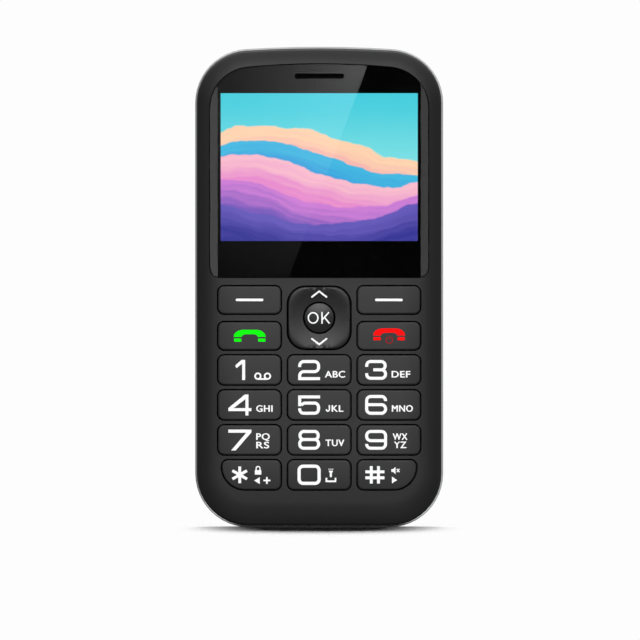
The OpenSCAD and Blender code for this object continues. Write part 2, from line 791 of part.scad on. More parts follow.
module display_lens() {
    side_u = lens_x - lens_slope_w;
    slope = [
        [side_u, w_lens1], [lens_x + cut, w_lens1 - lens_slope_h * (lens_slope_w + cut) / lens_slope_w],
        [lens_x + cut, body_t], [side_u, body_t]
    ];
    color([0.12, 0.13, 0.15, 0.6]) stand() difference() {
        slab(LENS, w_lens0, w_lens1);
        for (s = [0, 1])
            mirror([s, 0, 0])
                translate([0, v_lens1 + cut, 0])
                    rotate([90, 0, 0]) linear_extrude(v_lens1 - v_lens0 + 2 * cut) polygon(slope);
        earpiece_slot(0, w_lens0 - cut, body_t);
    }
}

module lens_tape() {
    color("black") stand() difference() {
        slab(inset(LENS, lens_gap), w_shelf1 + seat_gap / 2, w_lens0 - seat_gap / 2);
        view_window(w_shelf0, w_lens1);
        earpiece_slot(slot_relief, w_shelf0, w_lens1);
    }
}

module side_band() {
    round_edge = arc_points([band_edge_r, w_band1 - band_edge_r], band_edge_r, 180, 90, 5);
    color([0.75, 0.76, 0.78]) stand() difference() {
        loft(BODY, concat([[cover_step, w_band0], [0, w_band0 + cover_step]], round_edge));
        slab(inset(BODY, band_t), w_band0 + lip_t, w_band1 + cut);
        slab(inset(BODY, band_t + lip_w), w_band0 - cut, w_band1);
        charge_space();
        mic_hole(-cut);
        translate([jack_x, body_h + cut, w_port])
            rotate([90, 0, 0]) cylinder(d = jack_bore_d + 2 * fit_gap, h = in_hollow);
        jack_space(w_band0 - cut, w_band1 + cut);
    }
}

// The room that each socket needs behind the band
module charge_space() {
    hole = plate([0, 0], port_w + 2 * port_gap, port_h + 2 * port_gap, even(port_h / 2));
    translate([0, -cut, w_port]) rotate([-90, 0, 0]) slab(hole, 0, port_l + 2 * cut);
}

module charge_space_inside() {
    box(
        [-port_w / 2 - port_gap, 0, w_board0 - port_h - port_gap],
        [port_w / 2 + port_gap, in_chassis + port_l + port_gap, w_board0 + cut]
    );
}

module jack_space(w0, w1) {
    half = jack_w / 2 + port_gap;
    v1 = body_h - in_chassis;
    box([jack_x - half, v1 - jack_l - port_gap, w0], [jack_x + half, v1, w1]);
}

module mic_hole(v0) {
    translate([mic_x, v0, w_port]) rotate([-90, 0, 0]) cylinder(d = mic_d, h = in_hollow - v0);
}

module chassis_hollow() {
    bay_u = battery_w / 2 + battery_gap + bay_wall;
    difference() {
        slab(inset(BODY, in_hollow), w_deck1, w_board0 + cut);
        box([-bay_u, v_bay0 - bay_wall, 0], [bay_u, v_bay1 + bay_wall, body_t]);
        for (s = SCREWS) pin(s, column_r, 0, body_t);
    }
}

// Openings in the chassis for what shows or sounds through the back
module chassis_windows() {
    speaker = [speaker_x, v_speaker];
    pin([0, v_camera], camera_d / 2 + loose_gap, 0, w_deck1 + cut);
    pin([torch_x, v_camera], torch_d / 2 + fit_gap, 0, w_deck1 + cut);
    pin(speaker, speaker_d / 2 - speaker_seat, 0, w_deck1 + cut);
    pin(speaker, speaker_d / 2 - speaker_step, -cut, w_deck0 + loose_gap);
}

module chassis() {
    bay_u = battery_w / 2 + battery_gap;
    contact_u = contact_w / 2 + battery_gap;
    color([0.25, 0.26, 0.28]) stand() difference() {
        union() {
            slab(inset(BODY, in_deck), w_deck0, w_floor1);
            ring(BODY, in_chassis, in_hollow, w_clamp, w_clamp + chassis_wall);
            ring(BODY, in_chassis, in_chassis + chassis_wall, w_clamp, w_board0 - seat_gap);
            for (s = SCREWS) pin(s, column_r, s[3], w_boss0 - seat_gap);
        }
        chassis_hollow();
        box([-bay_u, v_bay0, -cut], [bay_u, v_bay1, w_floor0]);
        box(
            [-contact_u, v_bay1 - cut, w_contact0 - battery_gap],
            [contact_u, v_bay1 + 2 * bay_wall, w_board0]
        );
        for (h = HOLDERS) box(corner(h, -1, 0, w_floor0 - cut), corner(h, 1, 0, w_board0));
        for (s = SCREWS) {
            pin(s, head_d / 2 + screw_gap, -cut, w_clamp);
            pin(s, screw_d / 2 + screw_gap, 0, w_board0);
        }
        chassis_windows();
        charge_space_inside();
        jack_space(w_port - jack_h / 2 - port_gap, w_board0 + cut);
        mic_hole(0);
    }
}

// A dished form with a rounded edge at the back
module cover_form(wall, top) {
    middle = [cover_edge_r, cover_edge_r];
    edge = arc_points(middle, cover_edge_r - wall, 270, 180, 8);
    loft(inset(BODY, cover_step), concat(edge, [[wall, top]]));
}

module rear_cover() {
    color([0.19, 0.19, 0.2]) stand() difference() {
        union() {
            difference() {
                cover_form(0, w_band0 - key_clear);
                cover_form(cover_wall, w_band0 + cut);
            }
            for (s = [0, 1], v = [tab_low, tab_mid, tab_high]) mirror([s, 0, 0]) snap_tab(v);
        }
        for (i = [-2 : 2]) sound_slot(v_speaker + i * sound_pitch);
        pin([0, v_camera], window_d / 2 + key_clear, -cut, window_t + key_clear);
        pin([0, v_camera], window_d / 2 - window_lap, 0, cover_wall + cut);
        pin([torch_x, v_camera], torch_d / 2 + cover_gap, -cut, cover_wall + cut);
        box([-nail_w / 2, -cut, w_band0 - nail_h], [nail_w / 2, cover_step + cover_wall / 2, w_band0 + cut]);
    }
}

// A spring tab that stands on the inside of the cover's rim
module snap_tab(v) {
    u1 = body_w / 2 - band_t - lip_w - fit_gap;
    box([u1 - tab_t, v - tab_l / 2, cover_wall / 2], [u1, v + tab_l / 2, w_clamp - cover_gap]);
}

module sound_slot(v) {
    slab(plate([speaker_x, v], sound_l, sound_w, even(sound_w / 2 - least_line)), -cut, cover_wall + cut);
}

module battery() {
    v1 = battery_v + battery_l;
    color([0.1, 0.1, 0.11]) stand() difference() {
        slab(plate([0, (battery_v + v1) / 2], battery_w, battery_l, even(battery_r)), w_batt0, w_batt1);
        for (i = [-1 : 1]) finger([i * contact_pitch, v1 - loose_gap], loose_gap, cut + loose_gap);
    }
}

// The room of one contact finger, a gap larger all round, along the length of the battery
module finger(at, gap, reach) {
    half = [finger_w / 2 + gap, finger_h / 2 + gap];
    w = w_batt0 + battery_t / 2;
    box([at[0] - half[0], at[1], w - half[1]], [at[0] + half[0], at[1] + reach, w + half[1]]);
}

module battery_contacts() {
    v0 = v_bay1 + fit_gap;
    color([0.85, 0.7, 0.35]) stand() union() {
        box([-contact_w / 2, v0, w_contact0], [contact_w / 2, v0 + contact_l, w_board0 - seat_gap]);
        for (i = [-1 : 1]) finger([i * contact_pitch, v0 - battery_gap], 0, 2 * battery_gap);
    }
}

module main_board() {
    color([0.1, 0.32, 0.2]) stand() difference() {
        slab(inset(BODY, in_board), w_board0, w_board1);
        for (s = SCREWS) pin(s, boss_r + loose_gap, 0, body_t);
        jack_space(0, body_t);
    }
}

// The display module: a metal tray with the glass on it
module display_module() {
    v0 = v_active0 - module_ledge;
    v1 = v_active1 + module_border;
    glass_u = active_w / 2 + glass_border;
    tray = plate([0, (v0 + v1) / 2], module_w, v1 - v0, even(glass_border));
    color([0.35, 0.72, 0.78]) stand() union() {
        slab(tray, w_module0, w_module1 - module_t / 3);
        box([-glass_u, v_active0 - glass_border, w_module0], [glass_u, v_active1 + glass_border, w_module1]);
    }
}

module display_cushion() {
    u = active_w / 2;
    color([0.2, 0.2, 0.2]) stand()
        box([-u, v_active0, w_board1 + seat_gap], [u, v_active1, w_module0 - seat_gap]);
}

module display_flex() {
    v1 = v_active0 - module_ledge - seat_gap;
    v0 = v1 - flex_l;
    w0 = w_board1 + seat_gap;
    u = flex_w / 2;
    plug_u = u + plug_h;
    color([0.75, 0.5, 0.2]) stand() union() {
        box([-u, v0, w0], [u, v1, w0 + flex_t]);
        box([-u, v1 - 2 * flex_t, w0], [u, v1, w_module0 + module_t / 2]);
        box([-plug_u, v0 - plug_l, w0], [plug_u, v0, w0 + plug_h]);
    }
}

module keypad_mat() {
    color([0.85, 0.85, 0.86]) stand() difference() {
        union() {
            slab(MAT, w_mat0, w_mat1);
            ring(MAT, 0, mat_foot, w_film1 + seat_gap, w_mat1);
        }
        for (k = KEYS) pin(k[1], plunger_d / 2 + mat_gap, 0, body_t);
        slab(inset(PAD, -mat_gap - flange_lap), w_mat_pad, body_t);
        for (p = PAD_DOMES) pin(p, plunger_d / 2 + mat_gap, 0, body_t);
        pin([0, v_pad], ok_flange_r + mat_gap, 0, body_t);
    }
}

module dome_sheet() {
    color([0.8, 0.78, 0.6]) stand() union() {
        slab(MAT, w_board1 + seat_gap / 2, w_film1);
        for (p = concat([for (k = KEYS) k[1]], PAD_DOMES)) dome(p);
    }
}

module dome(at) {
    dome_r = (pow(dome_d / 2, 2) + pow(dome_h, 2)) / (2 * dome_h);
    intersection() {
        translate([at[0], at[1], w_dome1 - dome_r]) sphere(r = dome_r);
        pin(at, dome_d, w_film1 - film_t / 2, w_dome1 + cut);
    }
}

module key(k) {
    color([0.21, 0.21, 0.22]) stand() union() {
        cushioned(inset(opening(k), key_gap), w_flange0, body_t, key_edge_r);
        slab(inset(opening(k), -flange_lap), w_flange0, w_flange1);
        pin(k[1], plunger_d / 2, w_tip, w_flange0 + flange_t / 2);
    }
}

module key_nav() {
    half = key_w / 2 - key_gap;
    dish_r = (pow(half, 2) + pow(pad_dish, 2)) / (2 * pad_dish);
    tip = w_dome1 + (pad_press + plunger_d) * sin(pad_tilt) + key_clear;
    pivot_u = ok_flange_r + mat_gap;
    color([0.2, 0.2, 0.21]) stand() difference() {
        union() {
            cushioned(inset(PAD, key_gap), w_pad0, body_t, key_edge_r);
            slab(inset(PAD, -flange_lap), w_pad0, w_pad1);
            for (s = [-1, 1]) pin([0, v_pad + s * pad_press], plunger_d / 2, tip, w_pad1);
            for (s = [0, 1])
                mirror([s, 0, 0])
                    translate([pivot_u, v_pad, w_pad0])
                        rotate([0, 90, 0]) cylinder(r = pad_pivot_r, h = pivot_l);
        }
        translate([0, v_pad, body_t - pad_dish + dish_r]) sphere(r = dish_r);
        pin([0, v_pad], ok_hole_r, 0, body_t + cut);
    }
}

module key_ok() {
    r = ok_d / 2;
    dome_r = (r * r + ok_dome * ok_dome) / (2 * ok_dome);
    color([0.23, 0.23, 0.24]) stand() union() {
        intersection() {
            pin([0, v_pad], r, w_ok0, body_t);
            translate([0, v_pad, body_t - ok_sink - dome_r]) sphere(r = dome_r);
        }
        pin([0, v_pad], ok_flange_r, w_ok0, w_ok1);
        pin([0, v_pad], plunger_d / 2, w_tip, w_ok1);
    }
}

module earpiece() {
    v0 = v_active1 + module_border + loose_gap;
    body = plate([0, v0 + receiver_h / 2], receiver_w, receiver_h, even(receiver_r));
    color([0.3, 0.3, 0.32]) stand() slab(body, w_board1 + seat_gap, w_shelf0 - key_clear);
}

module earpiece_mesh() {
    color([0.05, 0.05, 0.05]) stand() earpiece_slot(slot_relief - key_clear, w_shelf0, w_shelf0 + mesh_t);
}

module loudspeaker() {
    at = [speaker_x, v_speaker];
    color([0.3, 0.3, 0.32]) stand() union() {
        pin(at, speaker_d / 2, w_deck1 + seat_gap, w_deck1 + speaker_t / 2);
        pin(at, speaker_d / 2 - speaker_step, w_deck1 + seat_gap, w_deck1 + speaker_t);
    }
}

module speaker_mesh() {
    w1 = w_deck0 + loose_gap - seat_gap;
    color([0.08, 0.08, 0.08]) stand()
        pin([speaker_x, v_speaker], speaker_d / 2 - speaker_step - fit_gap, w1 - mesh_t, w1);
}

module vibration_motor() {
    u = tail_w / 2;
    w0 = w_deck1 + seat_gap;
    color([0.7, 0.7, 0.72]) stand() union() {
        pin([motor_x, v_motor], motor_d / 2, w0, w_deck1 + motor_t);
        box([motor_x - u, v_motor, w0], [motor_x + u, v_motor + motor_d / 2 + u, w0 + 2 * loose_gap]);
    }
}

module microphone() {
    v0 = in_board + 2 * loose_gap;
    u = mic_w / 2;
    color([0.75, 0.72, 0.6]) stand()
        box([mic_x - u, v0, w_board0 - mic_t], [mic_x + u, v0 + mic_l, w_board0 - seat_gap]);
}

module camera_module() {
    half = camera_w / 2;
    body0 = w_board0 - camera_h;
    color([0.12, 0.12, 0.13]) stand() difference() {
        union() {
            box([-half, v_camera - half, body0], [half, v_camera + half, w_board0 - seat_gap]);
            pin([0, v_camera], camera_d / 2, w_deck0 + loose_gap, body0 + loose_gap);
        }
        pin([0, v_camera], camera_d / 2 - barrel_wall, 0, w_deck1);
    }
}

module camera_window() {
    color([0.1, 0.1, 0.12, 0.7]) stand() pin([0, v_camera], window_d / 2, key_clear, window_t);
}

module flash_led() {
    u = led_w / 2;
    color([0.95, 0.9, 0.5]) stand()
        box([torch_x - u, v_camera - u, w_board0 - led_t], [torch_x + u, v_camera + u, w_board0 - seat_gap]);
}

module flash_guide() {
    at = [torch_x, v_camera];
    color([0.9, 0.92, 0.95, 0.7]) stand() union() {
        pin(at, torch_d / 2, key_clear, w_board0 - led_t - key_clear);
        pin(at, torch_d / 2 + collar_w, w_deck1 + seat_gap, w_deck1 + collar_w);
    }
}

module charge_port() {
    inner = port_h / 2 - port_sheet;
    inner_w = port_w - 2 * port_sheet;
    tongue_u = tongue_w / 2;
    tongue_half = port_tongue_t / 2;
    back = port_sink + port_l - port_sheet;
    color([0.72, 0.73, 0.75]) stand() union() {
        translate([0, port_sink, w_port]) rotate([-90, 0, 0]) difference() {
            slab(plate([0, 0], port_w, port_h - seat_gap, even(port_h / 2 - seat_gap)), 0, port_l);
            slab(plate([0, 0], inner_w, 2 * inner, even(inner - least_line)), -cut, port_l - cut);
        }
        box([-tongue_u, 2 * port_sink, w_port - tongue_half], [tongue_u, back, w_port + tongue_half]);
    }
}

module audio_jack() {
    u = jack_w / 2;
    w = jack_h / 2;
    mouth = body_h - in_chassis - fit_gap;
    color([0.15, 0.15, 0.16]) stand() difference() {
        box([jack_x - u, mouth - jack_l, w_port - w], [jack_x + u, mouth, w_port + w]);
        translate([jack_x, mouth + cut, w_port]) rotate([90, 0, 0]) cylinder(d = jack_bore_d, h = jack_l);
    }
}

// A metal tray for one card, open at its lower end
module card_tray(h) {
    w0 = w_board0 - holder_t;
    window = holder_window / 2;
    inner = holder_gap + holder_wall;
    difference() {
        box(corner(h, -1, holder_gap, w0), corner(h, 1, holder_gap, w_board0 - seat_gap));
        box(
            corner(h, -1, inner, w0 + holder_sheet) - [0, inner + cut, 0],
            corner(h, 1, inner, w_board0 - holder_sheet)
        );
        box([h[0] - window, h[1] - window, w0 - cut], [h[0] + window, h[1] + window, w0 + 2 * holder_sheet]);
    }
}

module sim_holders() {
    color([0.78, 0.78, 0.8]) stand() for (i = [0, 1]) card_tray(HOLDERS[i]);
}

module card_holder() {
    color([0.7, 0.7, 0.72]) stand() card_tray(HOLDERS[2]);
}

module shield_cans() {
    large = plate([can_w / 2 + loose_gap, v_speaker], can_w, can_l, even(can_r));
    small = plate([-small_can_w, v_camera - small_can_l / 2], small_can_w, small_can_l, even(can_r));
    color([0.76, 0.77, 0.78]) stand() for (c = [large, small]) slab(c, w_board0 - can_t, w_board0 - seat_gap);
}

module antenna() {
    u0 = in_hollow + loose_gap - body_w / 2;
    v0 = v_camera - antenna_l;
    v_leg = v0 + antenna_l / 2;
    w0 = w_deck1 + seat_gap;
    color([0.85, 0.65, 0.3]) stand() union() {
        box([u0, v0, w0], [u0 + antenna_w, v0 + antenna_l, w0 + antenna_t]);
        box([u0, v_leg, w0], [u0 + antenna_t, v_leg + leg_w, w_board0 - seat_gap]);
    }
}

module screws() {
    color([0.6, 0.6, 0.62]) stand() for (s = SCREWS) difference() {
        union() {
            pin(s, head_d / 2, w_clamp - head_h, w_clamp - seat_gap);
            pin(s, screw_d / 2, w_clamp - head_h / 2, w_clamp + screw_l);
        }
        for (a = [0, 90])
            translate([s[0], s[1], w_clamp - head_h])
                rotate([0, 0, a]) cube([cross_l, cross_w, 2 * cross_w], center = true);
    }
}

front_housing();
display_lens();
lens_tape();
side_band();
chassis();
rear_cover();
battery();
main_board();
display_module();
display_cushion();
display_flex();
keypad_mat();
dome_sheet();
key_nav();
key_ok();
earpiece();
earpiece_mesh();
loudspeaker();
speaker_mesh();
vibration_motor();
microphone();
camera_module();
camera_window();
flash_led();
flash_guide();
charge_port();
audio_jack();
battery_contacts();
sim_holders();
card_holder();
shield_cans();
antenna();
screws();
for (k = KEYS) key(k);
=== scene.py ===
"""Looks of the feature phone: moulded shells, printed keys, lit screen, silver band and studio."""

import logging
import math
from dataclasses import dataclass
from enum import Enum
from functools import lru_cache, reduce
from typing import Callable, ClassVar, Sequence

import bmesh
import bpy
from mathutils import Matrix, Vector


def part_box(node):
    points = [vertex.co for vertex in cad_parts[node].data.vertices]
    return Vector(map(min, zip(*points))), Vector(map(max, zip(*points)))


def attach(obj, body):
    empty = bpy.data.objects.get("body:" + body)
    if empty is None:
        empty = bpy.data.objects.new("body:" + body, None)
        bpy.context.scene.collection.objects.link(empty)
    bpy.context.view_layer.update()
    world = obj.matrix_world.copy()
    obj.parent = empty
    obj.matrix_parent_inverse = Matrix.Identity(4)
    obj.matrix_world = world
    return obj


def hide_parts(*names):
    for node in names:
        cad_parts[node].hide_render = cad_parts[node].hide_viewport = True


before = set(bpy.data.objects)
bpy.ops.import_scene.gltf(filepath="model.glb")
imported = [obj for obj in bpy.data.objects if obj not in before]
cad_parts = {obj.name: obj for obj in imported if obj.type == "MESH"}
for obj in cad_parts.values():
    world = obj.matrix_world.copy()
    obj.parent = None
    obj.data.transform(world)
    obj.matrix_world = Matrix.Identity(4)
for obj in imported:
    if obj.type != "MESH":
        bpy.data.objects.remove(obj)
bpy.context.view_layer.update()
LOG = logging.getLogger("phone")
MM = 0.001
CREASE = 34.0  # degrees above which an edge stays sharp
LEVEL_GAP = 1e-6  # metres within which points lie on one level
GREYS = (0.3, 0.7)  # range of most values of a noise texture
Point = tuple[float, float]
Place = tuple[float, float, float]
Colour = tuple[float, float, float, float]
Surface = Callable[[float, float], float]
Socket = bpy.types.NodeSocket
Mesh = bpy.types.Mesh
Thing = bpy.types.Object


def srgb(red: int, green: int, blue: int) -> Colour:
    """Turns screen values of 0 to 255 into a linear colour.

    Args:
        red: Red part.
        green: Green part.
        blue: Blue part.

    Returns:
        The linear colour with full alpha.
    """
    parts = [c / 255 for c in (red, green, blue)]
    linear = [c / 12.92 if c <= 0.04045 else ((c + 0.055) / 1.055) ** 2.4 for c in parts]
    return (linear[0], linear[1], linear[2], 1.0)


def times(colour: Colour, share: float) -> Colour:
    """Gives a colour times a share, with no part over one."""
    return tuple(min(1.0, c * share) for c in colour[:3]) + (1.0,)


class Side(Enum):
    """The way that a printed surface faces."""

    FRONT = 1
    BACK = -1


class Body(Enum):
    """Moving bodies of the phone that carry pieces made here."""

    MAIN = "body"
    COVER = "cover"
    PAD = "key_nav"
    MIDDLE = "key_ok"


class Lit(Enum):
    """The sets of things that a lamp may light."""

    FRONT = "all_but_floor_and_band"
    REAR = "all_at_the_back"
    BAND = "lit_band"
    LENS = "lit_lens"
    FLOOR = "lit_floor"


@dataclass(frozen=True)
class Layout:
    """Flat design places: u across, v up from the foot, w from the back to the front, in millimetres."""

    thickness: float = 14.05
    ink: float = 0.012
    ink_step: float = 0.0006

    def at(self, u: float, v: float, w: float) -> Vector:
        """Gives the place in the row frame, in metres."""
        return Vector((u, self.thickness / 2 - w, v)) * MM

    def depth(self, w: float) -> float:
        """Gives the row frame's y of a level, in metres."""
        return (self.thickness / 2 - w) * MM


LAYOUT = Layout()


@dataclass(frozen=True)
class Flat:
    """A flat surface at one level, in millimetres."""

    level: float

    def __call__(self, u: float, v: float) -> float:
        """Gives the level, which is the same everywhere."""
        return self.level


@dataclass(frozen=True)
class Ball:
    """A surface that is part of a ball, hollow or domed round its middle, in millimetres."""

    level: float
    radius: float
    middle_v: float
    hollow: bool

    def __call__(self, u: float, v: float) -> float:
        """Gives the level at a place across and up."""
        bend = self.radius - math.sqrt(self.radius**2 - u**2 - (v - self.middle_v) ** 2)
        return self.level + (bend if self.hollow else -bend)


class Tree:
    """Short calls for building one node tree."""

    def __init__(self, tree: bpy.types.NodeTree) -> None:
        """Starts from an empty tree."""
        self.tree = tree
        tree.nodes.clear()

    def node(self, kind: str, inputs: dict | None = None, **settings: object) -> bpy.types.Node:
        """Adds a node.

        Args:
            kind: Blender's name of the node's type.
            inputs: Socket name or number to a value or to another node's output.
            settings: Properties of the node.

        Returns:
            The new node.
        """
        made = self.tree.nodes.new(kind)
        for key, value in settings.items():
            setattr(made, key, value)
        for key, value in (inputs or {}).items():
            if isinstance(value, Socket):
                self.tree.links.new(value, made.inputs[key])
            else:
                made.inputs[key].default_value = value
        return made

    def math(self, operation: str, *values: object) -> Socket:
        """Adds a math node and returns its output."""
        return self.node("ShaderNodeMath", dict(enumerate(values)), operation=operation).outputs[0]

    def chain(self, operation: str, *values: object) -> Socket:
        """Joins values two at a time by one math operation and returns the output."""
        return reduce(lambda a, b: self.math(operation, a, b), values)

    def mix(self, factor: object, a: object, b: object) -> Socket:
        """Adds a colour mix and returns its output."""
        return self.node("ShaderNodeMix", {0: factor, 6: a, 7: b}, data_type="RGBA").outputs[2]

    def blend(self, share: object, a: Socket, b: Socket) -> Socket:
        """Adds a mix of two shaders and returns its output."""
        return self.node("ShaderNodeMixShader", {0: share, 1: a, 2: b}).outputs[0]

    def matt(self, colour: object) -> Socket:
        """Adds a plain matt shader and returns its output."""
        return self.node("ShaderNodeBsdfDiffuse", {"Color": colour}).outputs[0]

    def surface(self, inputs: dict) -> Socket:
        """Adds a principled shader and returns its output."""
        return self.node("ShaderNodeBsdfPrincipled", inputs).outputs[0]

    def noise(self, where: object, scale: float, detail: float = 3.0) -> Socket:
        """Adds a noise texture and returns its grey output."""
        return self.node("ShaderNodeTexNoise", {"Vector": where, "Scale": scale, "Detail": detail}).outputs[0]

    def spread(self, value: object, low: float, high: float, to_low: float, to_high: float) -> Socket:
        """Maps a value from one range to another along a smooth step and returns the output."""
        sockets = {0: value, 1: low, 2: high, 3: to_low, 4: to_high}
        return self.node("ShaderNodeMapRange", sockets, interpolation_type="SMOOTHSTEP").outputs[0]

    def place(self) -> Socket:
        """Returns the object coordinates."""
        return self.node("ShaderNodeTexCoord").outputs["Object"]

    def axes(self, vector: Socket) -> bpy.types.NodeOutputs:
        """Returns the three parts of a vector."""
        return self.node("ShaderNodeSeparateXYZ", {0: vector}).outputs


@dataclass(frozen=True)
class Finish:
    """A finish of one kind of surface; its material is made once."""

    name: str

    def shade(self, tree: Tree) -> Socket:
        """Builds the shader.

        Args:
            tree: The material's tree.

        Returns:
            The shader's output.
        """
        raise NotImplementedError

    def material(self) -> bpy.types.Material:
        """Makes the material on first use.

        Returns:
            The finish's material.
        """
        known = bpy.data.materials.get(self.name)
        if known is not None:
            return known
        made = bpy.data.materials.new(self.name)
        made.use_nodes = True
        tree = Tree(made.node_tree)
        tree.node("ShaderNodeOutputMaterial", {"Surface": self.shade(tree)})
        return made


@dataclass(frozen=True)
class Moulding(Finish):
    """Moulded plastic or rubber with a fine grain and slightly uneven colour."""

    colour: Colour
    roughness: float = 0.5
    grain: float = 0.16
    depth: float = 0.004
    uneven: float = 0.12
    specular: float = 0.4
    patches: ClassVar[float] = 90.0
    swing: ClassVar[float] = 0.06

    def tint(self, tree: Tree, where: Socket) -> Socket:
        """Builds the slightly uneven colour.

        Args:
            tree: The material's tree.
            where: The object coordinates.

        Returns:
            The colour's output.
        """
        dark, pale = times(self.colour, 1 - self.uneven), times(self.colour, 1 + self.uneven)
        return tree.mix(tree.noise(where, self.patches), dark, pale)

    def shade(self, tree: Tree) -> Socket:
        """Builds grained plastic.

        Args:
            tree: The material's tree.

        Returns:
            The shader's output.
        """
        where = tree.place()
        grain = tree.noise(where, 1 / (self.grain * MM), 2.0)
        bump = tree.node("ShaderNodeBump", {"Height": grain, "Distance": self.depth * MM, "Strength": 1.0})
        low, high = self.roughness - self.swing, self.roughness + self.swing
        return tree.surface({
            "Base Color": self.tint(tree, where),
            "Roughness": tree.spread(grain, *GREYS, low, high),
            "Specular IOR Level": self.specular,
            "Normal": bump.outputs[0],
        })


@dataclass(frozen=True)
class GapShadedMoulding(Moulding):
    """Keypad plastic with painted shade in the gaps and along the shell's edge, and painted light, in
    millimetres.
    """

    gap_level: float = 13.6
    # painted shade: the surface behind this level is matt black, a dark line along the shell's outer edge
    painted_shade_edge_level: float = 0.0
    floor_level: float = 13.6
    face_level: float = 14.03
    # painted light: the middle of the keypad is paler than its sides, foot and head
    painted_middle_light: float = 0.0
    # painted highlight on the rounded top edges of the keys
    painted_edge_highlight: float = 0.0
    half_w: float = 25.6
    low_v: float = 8.0
    high_v: float = 61.5
    fade: float = 0.08
    painted_shade_edge_fade: float = 0.1
    side_fade: float = 6.0
    foot_fade: float = 12.0
    head_fade: Point = (-1.0, 2.0)
    steep: float = 0.6
    # colour of the painted shade in the gaps and along the shell's edge
    painted_gap_shade: Colour = (0.001, 0.001, 0.001, 1.0)

    def tint(self, tree: Tree, where: Socket) -> Socket:
        """Builds the colour with painted light, up to twice as pale on the edges and in the middle of the
        keypad.

        Args:
            tree: The material's tree.
            where: The object coordinates.

        Returns:
            The colour's output.
        """
        x, y, z = tree.axes(where)
        face = LAYOUT.depth(self.face_level)
        # painted highlight: paler behind the flat front, on the rounded top edges
        edge = tree.spread(y, face, face + self.fade * MM, 0.0, self.painted_edge_highlight)
        side = self.half_w - self.side_fade
        across = tree.spread(tree.math("ABSOLUTE", x), side * MM, self.half_w * MM, 1.0, 0.0)
        low = tree.spread(z, self.low_v * MM, (self.low_v + self.foot_fade) * MM, 0.0, 1.0)
        near, far = (self.high_v + shift for shift in self.head_fade)
        high = tree.spread(z, near * MM, far * MM, 1.0, 0.0)
        # painted light: paler in the middle of the keypad, darker towards its sides, foot and head
        middle = tree.chain("MULTIPLY", across, low, high, self.painted_middle_light)
        return tree.mix(tree.math("ADD", middle, edge), super().tint(tree, where), times(self.colour, 2.0))

    def shade(self, tree: Tree) -> Socket:
        """Builds plastic with painted shade: matt black on the walls and floors of the gaps and behind the
        edge level.

        Args:
            tree: The material's tree.

        Returns:
            The shader's output.
        """
        x, y, z = tree.axes(tree.place())
        level, edge = LAYOUT.depth(self.gap_level), LAYOUT.depth(self.painted_shade_edge_level)
        in_painted_shade = tree.spread(y, level, level + self.fade * MM, 0.0, 1.0)
        across = tree.math("LESS_THAN", tree.math("ABSOLUTE", x), self.half_w * MM)
        up = tree.math("COMPARE", z, (self.low_v + self.high_v) / 2 * MM, (self.high_v - self.low_v) / 2 * MM)
        normal = tree.axes(tree.node("ShaderNodeNewGeometry").outputs["Normal"])
        # painted shade: steep walls, and floors behind the floor level, inside the keypad's gaps
        shaded_wall_or_floor = tree.math("LESS_THAN", tree.math("ABSOLUTE", normal[1]), self.steep)
        shaded_wall_or_floor = tree.math("MAXIMUM", shaded_wall_or_floor, tree.math("GREATER_THAN", y, LAYOUT.depth(self.floor_level)))
        gap = tree.chain("MULTIPLY", in_painted_shade, shaded_wall_or_floor, across, up)
        # painted shade also behind the edge level
        share = tree.math("MAXIMUM", gap, tree.spread(y, edge, edge + self.painted_shade_edge_fade * MM, 0.0, 1.0))
        return tree.blend(share, super().shade(tree), tree.matt(self.painted_gap_shade))


@dataclass(frozen=True)
class Metal(Finish):
    """Plated, painted or bare metal with faint streaks or flakes."""

    colour: Colour
    roughness: float = 0.3
    streak: Place = (1.0, 1.0, 1.0)
    scale: float = 900.0
    uneven: float = 0.1
    swing: ClassVar[float] = 0.2

    def shade(self, tree: Tree) -> Socket:
        """Builds streaked metal.

        Args:
            tree: The material's tree.

        Returns:
            The shader's output.
        """
        stretched = tree.node("ShaderNodeMapping", {"Vector": tree.place(), "Scale": self.streak})
        flake = tree.noise(stretched.outputs[0], self.scale)
        low, high = (self.roughness * (1 + s * self.swing) for s in (-1, 1))
        return tree.surface({
            "Base Color": tree.mix(flake, times(self.colour, 1 - self.uneven), self.colour),
            "Metallic": 1.0,
            "Roughness": tree.spread(flake, *GREYS, low, high),
        })


@dataclass(frozen=True)
class SeamShadedMetal(Metal):
    """Metal with a painted shadow along its front edge, where it meets the shell, in front of a level in
    millimetres.
    """

    # painted shadow: the band is matt black in front of this level, where the gap to the shell is
    seam: float = 9.69
    seam_shadow_colour: Colour = (0.008, 0.008, 0.008, 1.0)
    soft: float = 0.02

    def shade(self, tree: Tree) -> Socket:
        """Builds metal with the painted shadow along the seam.

        Args:
            tree: The material's tree.

        Returns:
            The shader's output.
        """
        depth = tree.axes(tree.place())[1]
        level, soft = LAYOUT.depth(self.seam), self.soft * MM
        # painted shadow mask: in front of the seam level
        in_painted_shade = tree.spread(depth, level - soft, level + soft, 1.0, 0.0)
        return tree.blend(in_painted_shade, super().shade(tree), tree.matt(self.seam_shadow_colour))


@dataclass(frozen=True)
class Clear(Finish):
    """Clear or tinted window, with a very slight haze."""

    colour: Colour
    roughness: float = 0.0
    ior: float = 1.49
    haze: float = 0.003
    spots: float = 400.0

    def shade(self, tree: Tree) -> Socket:
        """Builds a clear shader.

        Args:
            tree: The material's tree.

        Returns:
            The shader's output.
        """
        spots = tree.noise(tree.place(), self.spots)
        return tree.surface({
            "Base Color": self.colour,
            "Roughness": tree.spread(spots, 0.4, 0.9, self.roughness, self.roughness + self.haze),
            "IOR": self.ior,
            "Transmission Weight": 1.0,
        })


